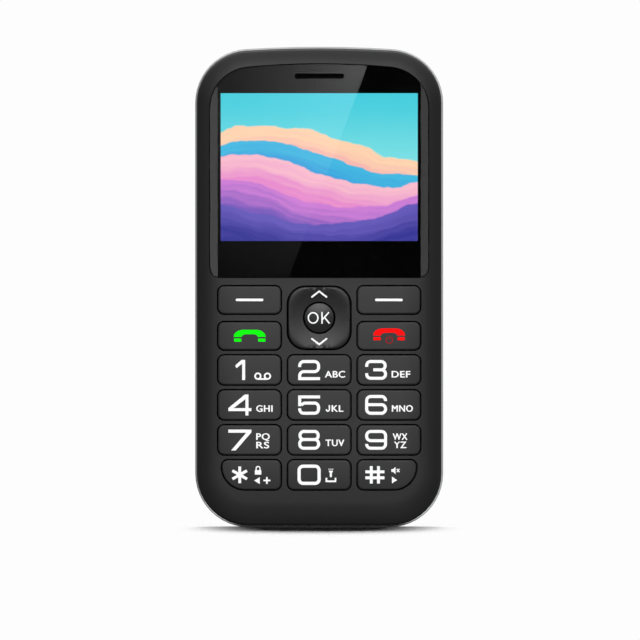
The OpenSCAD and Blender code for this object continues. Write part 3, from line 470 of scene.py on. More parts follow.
@dataclass(frozen=True)
class Ink(Finish):
    """Printed ink with a faintly uneven cover."""

    colour: Colour
    roughness: float = 0.6
    specular: float = 0.08
    thin: float = 0.93
    spots: float = 4000.0

    def shade(self, tree: Tree) -> Socket:
        """Builds matt ink.

        Args:
            tree: The material's tree.

        Returns:
            The shader's output.
        """
        cover = tree.noise(tree.place(), self.spots)
        return tree.surface({
            "Base Color": tree.mix(cover, times(self.colour, self.thin), self.colour),
            "Roughness": self.roughness,
            "Specular IOR Level": self.specular,
        })


@dataclass(frozen=True)
class Wave:
    """One rolling band of the screen's picture, in half screen heights and half screen widths."""

    level: float
    swing: float
    pace: float
    start: float
    crest: Colour
    depth: Colour


@dataclass(frozen=True)
class LitScreen(Finish):
    """The lit picture: rolling bands of colour under a pale sky."""

    middle_v: float
    half_w: float
    half_h: float
    sky_low: Colour
    sky_high: Colour
    waves: tuple[Wave, ...]
    strength: float = 1.08
    ripple: float = 0.22
    ripple_scale: float = 2.6
    reach: float = 0.42
    streaks: float = 1.1
    stretch: float = 15.0
    streak_scale: float = 1.3
    soft: float = 0.012

    def shade(self, tree: Tree) -> Socket:
        """Builds the glowing picture.

        Args:
            tree: The material's tree.

        Returns:
            The shader's output.
        """
        scale = (1 / (self.half_w * MM), 1.0, 1 / (self.half_h * MM))
        shift = (0.0, 0.0, -self.middle_v / self.half_h)
        sockets = {"Vector": tree.place(), "Scale": scale, "Location": shift}
        flat = tree.node("ShaderNodeMapping", sockets).outputs[0]
        across, _, height = tree.axes(flat)
        rough = tree.math("SUBTRACT", tree.noise(flat, self.ripple_scale, 5.0), 0.5)
        up = tree.math("ADD", height, tree.math("MULTIPLY", rough, self.ripple))
        colour = tree.mix(tree.spread(up, -0.4, 1.0, 0.0, 1.0), self.sky_low, self.sky_high)
        for wave in self.waves:
            angle = tree.math("ADD", tree.math("MULTIPLY", across, wave.pace), wave.start)
            top = tree.math("ADD", tree.math("MULTIPLY", tree.math("SINE", angle), wave.swing), wave.level)
            below = tree.math("SUBTRACT", top, up)
            flow = tree.math("MULTIPLY", below, self.stretch)
            along = tree.node("ShaderNodeCombineXYZ", {0: across, 1: flow, 2: wave.start}).outputs[0]
            streak = tree.math("SUBTRACT", tree.noise(along, self.streak_scale, 4.0), 0.5)
            deep = tree.spread(below, 0.0, self.reach, 0.0, 1.0)
            share = tree.math("ADD", deep, tree.math("MULTIPLY", streak, self.streaks))
            band = tree.mix(share, wave.crest, wave.depth)
            colour = tree.mix(tree.spread(below, -self.soft, self.soft, 0.0, 1.0), colour, band)
        return tree.node("ShaderNodeEmission", {"Color": colour, "Strength": self.strength}).outputs[0]


@dataclass(frozen=True)
class CardGlow(Finish):
    """A lit card, brightest at one place, in metres."""

    brightest: Place = (0.0, 0.0, 0.0)
    reach: float = 0.046
    level: float = 1.05

    def shade(self, tree: Tree) -> Socket:
        """Builds a glow that falls away.

        Args:
            tree: The material's tree.

        Returns:
            The shader's output.
        """
        gap = tree.node("ShaderNodeVectorMath", {0: tree.place(), 1: self.brightest}, operation="DISTANCE")
        fall = tree.math("EXPONENT", tree.math("MULTIPLY", gap.outputs["Value"], -1 / self.reach))
        strength = tree.math("MULTIPLY", fall, self.level)
        return tree.node("ShaderNodeEmission", {"Strength": strength}).outputs[0]


@dataclass(frozen=True)
class FloorPaint(Finish):
    """Pale floor paint that fades away round the phone, over an oval with these half lengths in metres."""

    albedo: float = 0.86
    half_x: float = 0.038
    half_y: float = 0.075
    near: float = 0.4
    spots: float = 30.0
    thin: float = 0.99

    def shade(self, tree: Tree) -> Socket:
        """Builds paint that turns clear outwards.

        Args:
            tree: The material's tree.

        Returns:
            The shader's output.
        """
        where = tree.place()
        scale = (1 / self.half_x, 1 / self.half_y, 1.0)
        oval = tree.node("ShaderNodeMapping", {"Vector": where, "Scale": scale})
        gap = tree.node("ShaderNodeVectorMath", {0: oval.outputs[0]}, operation="LENGTH").outputs["Value"]
        pale = (self.albedo,) * 3 + (1.0,)
        paint = tree.matt(tree.mix(tree.noise(where, self.spots), times(pale, self.thin), pale))
        clear = tree.node("ShaderNodeBsdfTransparent").outputs[0]
        return tree.blend(tree.spread(gap, self.near, 1.0, 0.0, 1.0), paint, clear)


@dataclass(frozen=True)
class Finishes:
    """Every finish of the phone."""

    # shell: painted shade in the key openings and along its outer edge, painted light paler in the keypad's
    # middle
    shell: Finish = GapShadedMoulding("shell_plastic", srgb(18, 18, 18), 0.55, 0.14, 0.005, 0.06, 0.28, 13.42,
                                   11.4, 12.9, 13.63, 1.0, 0.0)
    cover: Finish = Moulding("cover_plastic", srgb(24, 24, 24), 0.52, 0.14, 0.006, 0.06, 0.4)
    # keys: painted shade on their sides, painted light in the keypad's middle, painted highlight on their top
    # edges
    key: Finish = GapShadedMoulding("key_plastic", srgb(33, 33, 33), 0.52, 0.2, 0.002, 0.05, 0.2, 13.6,
                                 0.0, 13.6, 14.03, 0.75, 0.5)
    # pad: painted shade on the walls and floors of its gaps
    pad: Finish = GapShadedMoulding("pad_plastic", srgb(6, 6, 6), 0.42, 0.2, 0.001, 0.05, 0.32, 13.3, 0.0, 13.3)
    # band: painted shadow of the gap to the shell along its front edge
    band: Finish = SeamShadedMetal("band_silver", srgb(205, 206, 209), 0.22, (1.0, 1.0, 1.0), 5000.0, 0.06)
    lens: Finish = Clear("lens_clear", (1.0, 1.0, 1.0, 1.0))
    black: Finish = Moulding("frame_black", srgb(3, 3, 3), 0.8, 0.3, 0.001, 0.05, 0.04)
    window: Finish = Clear("camera_glass", (0.75, 0.78, 0.82, 1.0), 0.0, 1.52)
    guide: Finish = Clear("light_guide", (0.93, 0.95, 0.97, 1.0), 0.28)
    white: Finish = Ink("legend_white", srgb(250, 250, 250))
    green: Finish = Ink("legend_green", srgb(0, 255, 0))
    red: Finish = Ink("legend_red", srgb(255, 0, 0))
    dim_red: Finish = Ink("legend_dim_red", srgb(150, 26, 26))
    chassis: Finish = Moulding("chassis_plastic", srgb(66, 68, 71), 0.55, 0.3, 0.006, 0.08, 0.35)
    battery: Finish = Moulding("battery_wrap", srgb(34, 35, 37), 0.35, 0.6, 0.003, 0.05, 0.5)
    label: Finish = Ink("battery_label", srgb(176, 180, 184), 0.38)
    board: Finish = Moulding("board_mask", srgb(28, 92, 56), 0.35, 0.5, 0.004, 0.15, 0.5)
    module: Finish = Moulding("module_black", srgb(6, 6, 7), 0.5, 0.5, 0.001, 0.05, 0.1)
    foam: Finish = Moulding("cushion_foam", srgb(38, 38, 40), 0.9, 0.25, 0.03, 0.2, 0.2)
    film: Finish = Moulding("cable_film", srgb(186, 112, 34), 0.3, 0.8, 0.002, 0.1, 0.5)
    silicone: Finish = Moulding("mat_silicone", srgb(216, 217, 218), 0.5, 0.4, 0.003, 0.04, 0.4)
    domes: Finish = Metal("dome_steel", srgb(206, 202, 186), 0.3)
    woven: Finish = Moulding("mesh_cloth", srgb(4, 4, 4), 0.9, 0.1, 0.01, 0.1, 0.05)
    wire: Finish = Metal("mesh_wire", srgb(20, 20, 21), 0.5)
    sound: Finish = Moulding("sound_case", srgb(46, 46, 48), 0.4, 0.3, 0.003, 0.08, 0.45)
    steel: Finish = Metal("plated_steel", srgb(190, 191, 194), 0.28, (1.0, 1.0, 12.0), 600.0, 0.12)
    brass: Finish = Metal("gilded_brass", srgb(214, 172, 92), 0.25)
    camera: Finish = Moulding("camera_black", srgb(18, 18, 20), 0.35, 0.3, 0.002, 0.05, 0.5)
    coated: Finish = Moulding("camera_lens", srgb(16, 14, 34), 0.1, 0.4, 0.0005, 0.3, 0.7)
    lamp: Finish = Ink("lamp_phosphor", srgb(236, 214, 92), 0.5)
    socket: Finish = Moulding("socket_black", srgb(24, 24, 25), 0.45, 0.3, 0.003, 0.06, 0.45)


FINISHES = Finishes()


def dress(piece: Thing, finish: Finish) -> None:
    """Gives a piece one finish all over."""
    piece.data.materials.clear()
    piece.data.materials.append(finish.material())


def new_object(name: str, data: bpy.types.ID) -> Thing:
    """Puts a new object into the scene.

    Args:
        name: Name of the object.
        data: Its mesh, curve, lamp or camera.

    Returns:
        The object.
    """
    made = bpy.data.objects.new(name, data)
    bpy.context.scene.collection.objects.link(made)
    return made


def piece_from(mesh: Mesh, name: str, body: str, finish: Finish) -> Thing:
    """Makes a mesh into a piece that rides on a body.

    Args:
        mesh: The mesh, already in its place.
        name: Name of the piece.
        body: Body that carries it.
        finish: Its finish.

    Returns:
        The new object.
    """
    made = new_object(name, mesh)
    dress(made, finish)
    made.visible_diffuse = False
    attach(made, body)
    LOG.info("%s rides on %s: %d faces", name, body, len(mesh.polygons))
    return made


def mesh_from(form: bmesh.types.BMesh, name: str) -> Mesh:
    """Turns an editing mesh into a plain one and frees it.

    Args:
        form: The editing mesh.
        name: Name of the new mesh.

    Returns:
        The new mesh.
    """
    mesh = bpy.data.meshes.new(name)
    form.to_mesh(mesh)
    form.free()
    return mesh


def plain_mesh(maker: Thing) -> Mesh:
    """Takes the evaluated mesh of an object and removes the object.

    Args:
        maker: An object with modifiers, or a text object.

    Returns:
        The plain mesh.
    """
    bpy.context.view_layer.update()
    graph = bpy.context.evaluated_depsgraph_get()
    mesh = bpy.data.meshes.new_from_object(maker.evaluated_get(graph))
    bpy.data.objects.remove(maker)
    return mesh


def smooth_copy(node: str, crease: float, ink: float) -> Mesh:
    """Copies a CAD node's mesh with merged points and smooth rounded edges.

    Args:
        node: Name of the node.
        crease: Angle in degrees above which an edge stays sharp.
        ink: Thickness in millimetres that the flat front gives up to a layer of ink.

    Returns:
        The new mesh.
    """
    merge, sliver = 2e-6, 1e-7
    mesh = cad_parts[node].data.copy()
    form = bmesh.new()
    form.from_mesh(mesh)
    bmesh.ops.remove_doubles(form, verts=form.verts, dist=merge)
    bmesh.ops.dissolve_degenerate(form, edges=form.edges, dist=sliver)
    front = min(point.co.y for point in form.verts) + LEVEL_GAP
    for point in form.verts:
        if point.co.y < front:
            point.co.y += ink * MM
    for face in form.faces:
        face.smooth = True
    form.to_mesh(mesh)
    form.free()
    if "custom_normal" in mesh.attributes:
        mesh.attributes.remove(mesh.attributes["custom_normal"])
    mesh.set_sharp_from_angle(angle=math.radians(crease))
    maker = new_object(node + "_maker", mesh)
    weigh = maker.modifiers.new("weigh", "WEIGHTED_NORMAL")
    weigh.weight = 90
    weigh.keep_sharp = True
    return plain_mesh(maker)


def stand_in(
    node: str, name: str, body: str, finish: Finish, crease: float = CREASE, ink: float = 0.0
) -> Thing:
    """Shows a smooth copy in place of a CAD node.

    Args:
        node: Name of the node.
        name: Name of the new piece.
        body: Body that carries it.
        finish: Its finish.
        crease: Angle in degrees above which an edge stays sharp.
        ink: Thickness in millimetres that the flat front gives up to a layer of ink.

    Returns:
        The new piece.
    """
    made = piece_from(smooth_copy(node, crease, ink), name, body, finish)
    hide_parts(node)
    return made


def turned(profile: Sequence[Point], middle: Point, name: str, parts: int = 72) -> Mesh:
    """Turns a half section round an axis that runs from back to front.

    Args:
        profile: Distance from the axis and level of each corner in millimetres, from the axis to the axis.
        middle: Place of the axis, across and up.
        name: Name of the mesh.
        parts: Number of sides.

    Returns:
        The closed mesh.
    """
    form = bmesh.new()
    rings: list[list[bmesh.types.BMVert]] = []
    for radius, level in profile:
        turns = [2 * math.pi * k / parts for k in range(parts if radius else 1)]
        places = [(middle[0] + radius * math.cos(t), middle[1] + radius * math.sin(t)) for t in turns]
        rings.append([form.verts.new(LAYOUT.at(u, v, level)) for u, v in places])
    for near, far in zip(rings, rings[1:]):
        for k in range(parts):
            turn = ((near, k), (near, k + 1), (far, k + 1), (far, k))
            corners = dict.fromkeys(ring[i % len(ring)] for ring, i in turn)
            form.faces.new(list(corners)).smooth = True
    bmesh.ops.recalc_face_normals(form, faces=form.faces)
    mesh = mesh_from(form, name)
    mesh.set_sharp_from_angle(angle=math.radians(CREASE))
    return mesh


@dataclass(frozen=True)
class Patch:
    """One filled area of a legend, its corners in millimetres."""

    points: tuple[Point, ...]


@dataclass(frozen=True)
class Stroke:
    """One line of a legend: corners in millimetres, the radius that rounds them, and how its ends look."""

    points: tuple[Point, ...]
    radius: float = 0.0
    closed: bool = False
    round_ends: bool = False
    width: float = 0.0

    def centre_line(self, step: float = 0.3, arc_step: float = 0.14) -> list[Vector]:
        """Gives the points along the line, with rounded corners and no long stretch.

        Args:
            step: Longest distance between two points.
            arc_step: Longest distance between two points of a rounded corner.

        Returns:
            Points in order; a closed line doesn't repeat its first one.
        """
        corners = [Vector(p) for p in self.points]
        count = len(corners)
        line: list[Vector] = []
        for i, corner in enumerate(corners):
            inner = self.closed or 0 < i < count - 1
            if not inner or self.radius == 0:
                line.append(corner)
                continue
            before = (corners[i - 1] - corner).normalized()
            after = (corners[(i + 1) % count] - corner).normalized()
            half = before.angle(after) / 2
            reach = self.radius / math.tan(half)
            middle = corner + (before + after).normalized() * (self.radius / math.sin(half))
            first, last = corner + before * reach - middle, corner + after * reach - middle
            turn = first.angle_signed(last)
            parts = max(2, math.ceil(abs(turn) * self.radius / arc_step))
            line.extend(middle + Matrix.Rotation(-turn * k / parts, 2) @ first for k in range(parts + 1))
        full: list[Vector] = []
        pairs = zip(line, line[1:] + line[:1]) if self.closed else zip(line, line[1:])
        for a, b in pairs:
            parts = max(1, math.ceil((b - a).length / step))
            full.extend(a.lerp(b, k / parts) for k in range(parts))
        return full if self.closed else full + [line[-1]]


Shape = Patch | Stroke


@dataclass(frozen=True)
class Mark:
    """Shapes of a legend, the width of lines that give none, and their origin's place, in millimetres."""

    shapes: tuple[Shape, ...]
    width: float = 0.0
    at: Point = (0.0, 0.0)


def circle(radius: float, parts: int, wide: float = 1.0) -> Stroke:
    """Gives a round or oval line; wide is its width as a share of its height."""
    turns = [2 * math.pi * k / parts for k in range(parts)]
    return Stroke(tuple((wide * radius * math.cos(t), radius * math.sin(t)) for t in turns), closed=True)


def letter_mesh(text: str) -> Mesh:
    """Makes flat letters at size one.

    Args:
        text: The letters.

    Returns:
        A flat mesh that starts at the origin.
    """
    curve = bpy.data.curves.new("letters", "FONT")
    curve.body = text
    curve.space_character = 1.08
    curve.resolution_u = 5
    mesh = plain_mesh(new_object("letters", curve))
    bpy.data.curves.remove(curve)
    return mesh


@lru_cache(maxsize=None)
def capital_height() -> float:
    """Measures a capital of the built-in letters.

    Returns:
        Its height at size one.
    """
    mesh = letter_mesh("H")
    height = max(v.co.y for v in mesh.vertices)
    bpy.data.meshes.remove(mesh)
    return height


class Legend:
    """Collects the flat shapes of one legend, then lays them on a surface as thin ink."""

    def __init__(self, *marks: Mark) -> None:
        """Starts with some marks."""
        self.forms: list[bmesh.types.BMesh] = []
        self.add(*marks)

    def add(self, *marks: Mark) -> None:
        """Adds filled areas and lines.

        Args:
            marks: The areas and lines.
        """
        for mark in marks:
            for shape in mark.shapes:
                form = bmesh.new()
                if isinstance(shape, Patch):
                    places = [(x + mark.at[0], y + mark.at[1], 0.0) for x, y in shape.points]
                    form.faces.new([form.verts.new(place) for place in places])
                else:
                    self.ribbon(form, shape, (shape.width or mark.width) / 2, Vector(mark.at))
                self.forms.append(form)

    def ribbon(self, form: bmesh.types.BMesh, stroke: Stroke, half: float, at: Vector) -> None:
        """Fills a line of even width.

        Args:
            form: The mesh to fill.
            stroke: The line.
            half: Half its width.
            at: Place of the line's own origin.
        """
        sharpest, end_parts = 0.45, 10
        path = [p + at for p in stroke.centre_line()]
        count = len(path)
        left, right = [], []
        for i, p in enumerate(path):
            before = (p - path[i - 1]) if i or stroke.closed else (path[1] - p)
            after = (path[(i + 1) % count] - p) if i < count - 1 or stroke.closed else (p - path[i - 1])
            side = (before.normalized() + after.normalized()).normalized()
            normal = Vector((-side.y, side.x))
            wide = half / max(sharpest, normal.dot(Vector((-before.y, before.x)).normalized()))
            left.append(form.verts.new((*(p + normal * wide), 0.0)))
            right.append(form.verts.new((*(p - normal * wide), 0.0)))
        for i in range(count if stroke.closed else count - 1):
            j = (i + 1) % count
            form.faces.new((left[i], right[i], right[j], left[j]))
        if stroke.round_ends:
            for first, last, middle in ((left[0], right[0], path[0]), (right[-1], left[-1], path[-1])):
                spoke = first.co.xy - middle
                turns = [Matrix.Rotation(math.pi * k / end_parts, 2) for k in range(1, end_parts)]
                arc = [form.verts.new((*(turn @ spoke + middle), 0.0)) for turn in turns]
                form.faces.new([first, *arc, last])

    def letters(self, text: str, height: float, at: Point, width: float, bold: float = 0.065) -> None:
        """Adds small capitals.

        Args:
            text: The letters.
            height: Height of a capital.
            at: Lower left corner.
            width: Width of the whole word.
            bold: Half of what the strokes gain by being printed several times.
        """
        mesh = letter_mesh(text)
        low, high = min(v.co.x for v in mesh.vertices), max(v.co.x for v in mesh.vertices)
        wide, tall = (width - 2 * bold) / (high - low), (height - bold) / capital_height()
        size = Matrix.Diagonal((wide, tall, 1.0, 1.0)) @ Matrix.Translation((-low, 0.0, 0.0))
        for u, v in ((0.0, 0.5), (2.0, 0.5), (1.0, 0.0), (1.0, 1.0)):
            form = bmesh.new()
            form.from_mesh(mesh)
            place = Matrix.Translation((at[0] + u * bold, at[1] + v * bold, 0.0))
            bmesh.ops.transform(form, matrix=place @ size, verts=form.verts)
            bmesh.ops.remove_doubles(form, verts=form.verts, dist=1e-4)
            self.forms.append(form)
        bpy.data.meshes.remove(mesh)

    def lay(
        self, name: str, body: str, finish: Finish, surface: Surface, at: Point, side: Side = Side.FRONT
    ) -> None:
        """Turns the shapes into a thin layer of ink on a surface.

        Args:
            name: Name of the piece.
            body: Body that carries it.
            finish: The ink.
            surface: Level of the surface at a place across and up.
            at: Place of the legend's origin, across and up.
            side: The way that the surface faces.
        """
        whole = bmesh.new()
        for i, form in enumerate(self.forms):
            rise = side.value * (LAYOUT.ink - i * LAYOUT.ink_step)
            for v in form.verts:
                u, up = v.co.x + at[0], v.co.y + at[1]
                v.co = LAYOUT.at(u, up, surface(u, up) + rise)
            lower = bmesh.ops.extrude_face_region(form, geom=form.faces[:])["geom"]
            sink = Vector((0.0, side.value * 2 * LAYOUT.ink * MM, 0.0))
            bmesh.ops.translate(form, vec=sink, verts=[g for g in lower if isinstance(g, bmesh.types.BMVert)])
            bmesh.ops.recalc_face_normals(form, faces=form.faces)
            part = mesh_from(form, "part")
            whole.from_mesh(part)
            bpy.data.meshes.remove(part)
        piece_from(mesh_from(whole, name), name, body, finish)


@dataclass(frozen=True)
class Digits:
    """Wide digits and signs drawn with one stroke width, centred on their own middle, in millimetres."""

    half_w: float = 2.34
    half_h: float = 2.08
    width: float = 0.75
    bend: float = 1.02
    arm: float = 2.08

    def shapes(self) -> dict[str, tuple[Shape, ...]]:
        """Draws every digit and sign.

        Returns:
            Digit or sign to its lines and areas.
        """
        a, b, r = self.half_w, self.half_h, self.bend
        out, inner = a + self.width / 2, a - self.width / 2
        foot, head = -b - 0.45, b + 0.4
        wide, low, high = a + 0.14, -b - 0.04, b + 0.06
        turns = [math.radians(angle) for angle in (30, 90, 150)]
        arms = [(self.arm * math.cos(t), self.arm * math.sin(t)) for t in turns]
        return {
            "0": (Stroke(((-wide, low), (wide, low), (wide, high), (-wide, high)), r, True, width=0.8),),
            "1": (Stroke(((0.88, foot), (0.88, head))),
                  Patch(((0.34, head), (-1.23, 1.06), (-0.88, 0.44), (0.5, 1.56), (0.5, head)))),
            "2": (Stroke(((-a, 0.72), (-a, b), (a, b), (a, -0.42), (-a, -0.42), (-a, foot)), r),
                  Stroke(((-out, -b - 0.08), (out, -b - 0.08)))),
            "3": (Stroke(((-a, 0.78), (-a, b), (a - 0.1, b), (a - 0.1, 0.03), (-0.72, 0.03)), 0.98),
                  Stroke(((-0.72, 0.03), (a, 0.03), (a, -b), (-a, -b), (-a, -0.82)), r)),
            "4": (Stroke(((1.7, foot - 0.1), (1.7, head + 0.1))), Stroke(((-2.92, -1.18), (2.8, -1.18))),
                  Patch(((1.2, head + 0.1), (-2.92, -0.79), (-1.62, -0.79), (1.32, 1.42),
                         (1.32, head + 0.1)))),
            "5": (Stroke(((-a, -0.32), (-a, b - 0.1), (out, b - 0.1))),
                  Stroke(((-inner, -0.06), (-1.3, 0.44), (a, 0.44), (a, -b), (-a, -b), (-a, -0.84)), r)),
            "6": (Stroke(((a, 0.95), (a, b), (-a, b), (-a, -b), (a, -b), (a, 0.06), (-inner, 0.06)), r),),
            "7": (Patch(((-2.92, 2.54), (2.8, 2.54), (2.8, 1.86), (-1.1, foot - 0.1), (-2.22, foot - 0.1),
                         (1.52, 1.76), (-2.92, 1.76))),),
            "8": (Stroke(((0.1 - a, 0.08), (a - 0.1, 0.08), (a - 0.1, b), (0.1 - a, b)), 0.92, True),
                  Stroke(((-a, -b), (a, -b), (a, 0.08), (-a, 0.08)), 1.0, True)),
            "9": (Stroke(((-a, -1.02), (-a, -b), (a, -b), (a, b), (-a, b), (-a, -0.2), (inner, -0.2)), r),),
            "*": tuple(Stroke(((x, y), (-x, -y)), width=0.7) for x, y in arms),
            "#": tuple(Stroke(((s * 0.885, -2.16), (s * 0.885, 2.16)), width=0.72) for s in (-1, 1))
            + tuple(Stroke(((-2.36, s * 0.735), (2.36, s * 0.735)), width=0.72) for s in (-1, 1)),
        }


@dataclass(frozen=True)
class SmallSigns:
    """The small signs on the keys: places from the key's middle, in millimetres."""

    reels_at: Point = (3.27, -1.55)
    reel_u: float = 1.19
    lock_at: Point = (2.13, 1.05)
    torch_at: Point = (2.9, 0.0)
    silent_at: Point = (1.55, 1.07)

    def beside_digits(self) -> dict[str, tuple[Mark, ...]]:
        """Draws voice mail reels, padlock, arrow and cross, torch and tray, and a struck-out loudspeaker.

        Returns:
            Digit to the signs beside it.
        """
        u, v = self.reels_at
        reels = tuple(Mark((circle(0.7, 20),), 0.4, (u + s * self.reel_u, v)) for s in (-1, 1))
        rail = Stroke(((-self.reel_u, -0.72), (self.reel_u, -0.72)))
        lock_body = ((-0.8, -1.0), (0.8, -1.0), (0.8, 0.1), (-0.8, 0.1))
        bow = Stroke(((-0.48, 0.0), (-0.48, 1.0), (0.48, 1.0), (0.48, 0.0)), 0.45)
        cross = (Stroke(((-0.85, 0.0), (0.85, 0.0))), Stroke(((0.0, -0.85), (0.0, 0.85))))
        case = ((-0.26, -0.45), (0.0, -0.62), (0.26, -0.45), (0.26, 0.5), (0.48, 0.72), (0.48, 1.03),
                (-0.48, 1.03), (-0.48, 0.72), (-0.26, 0.5))
        beams = tuple(Stroke(((x - 0.14, 1.4), (x + 0.14, 1.4))) for x in (-0.45, 0.0, 0.45))
        tray = Stroke(((-1.12, 0.88), (-1.12, 0.0), (1.12, 0.0), (1.12, 0.88)))
        horn = ((-0.95, -0.34), (-0.5, -0.34), (0.1, -0.92), (0.1, 0.92), (-0.5, 0.34), (-0.95, 0.34))
        strikes = (Stroke(((0.4, 0.4), (1.1, -0.4))), Stroke(((0.4, -0.4), (1.1, 0.4))))
        return {
            "1": (*reels, Mark((rail,), 0.42, self.reels_at)),
            "*": (Mark((Patch(lock_body),), at=self.lock_at),
                  Mark((bow,), 0.28, self.lock_at),
                  Mark((Patch(((-0.7, 0.0), (0.7, -0.86), (0.7, 0.86))),), at=(1.86, -1.43)),
                  Mark(cross, 0.4, (4.31, -1.4))),
            "0": (Mark((Patch(case),), at=self.torch_at), Mark(beams, 0.2, self.torch_at),
                  Mark((tray,), 0.42, (2.91, -1.6))),
            "#": (Mark((Patch(horn),), at=self.silent_at),
                  Mark(strikes, 0.25, self.silent_at),
                  Mark((Patch(((-0.65, 0.85), (-0.65, -0.85), (0.66, 0.0))),), at=(1.4, -1.3))),
        }

    def handset(self) -> tuple[Mark, ...]:
        """Draws a telephone handset that lies on its ends.

        Returns:
            Its arch and its two feet.
        """
        arch_v, foot_at = -0.28, (2.99, -1.06)
        quarter = [math.pi * k / 20 for k in range(11)]
        outer = [(1.6 + 2.37 * math.cos(t), arch_v + 1.78 * math.sin(t)) for t in quarter]
        inner = [(0.9 + 1.1 * math.cos(t), arch_v + 0.68 * math.sin(t)) for t in quarter]
        arch = outer + [(-u, v) for u, v in reversed(outer)] + [(-u, v) for u, v in inner] + inner[::-1]
        foot = Stroke(((-0.9, 0.0), (0.9, 0.0)))
        feet = (Mark((foot,), 0.79, (s * foot_at[0], foot_at[1])) for s in (-1, 1))
        return (Mark((Patch(tuple(arch)),)), *feet)

    def power(self) -> Mark:
        """Draws the power sign.

        Returns:
            Its open ring and its bar.
        """
        radius, opening = 0.82, 60
        turns = [math.radians(90 + opening / 2 + (360 - opening) * k / 14) for k in range(15)]
        ring = Stroke(tuple((radius * math.cos(t), radius * math.sin(t)) for t in turns))
        return Mark((ring, Stroke(((0.0, 0.15), (0.0, 1.1)))), 0.27)


@dataclass(frozen=True)
class Caption:
    """Small capitals beside a digit: their left end, foot and width from the key's middle, in millimetres."""

    text: str
    left: float
    foot: float
    width: float


@dataclass(frozen=True)
class NumberKey:
    """One number key: its node, digit, column, row from the foot, and the letters beside the digit."""

    node: str
    digit: str
    column: int
    row: int
    captions: tuple[Caption, ...] = ()


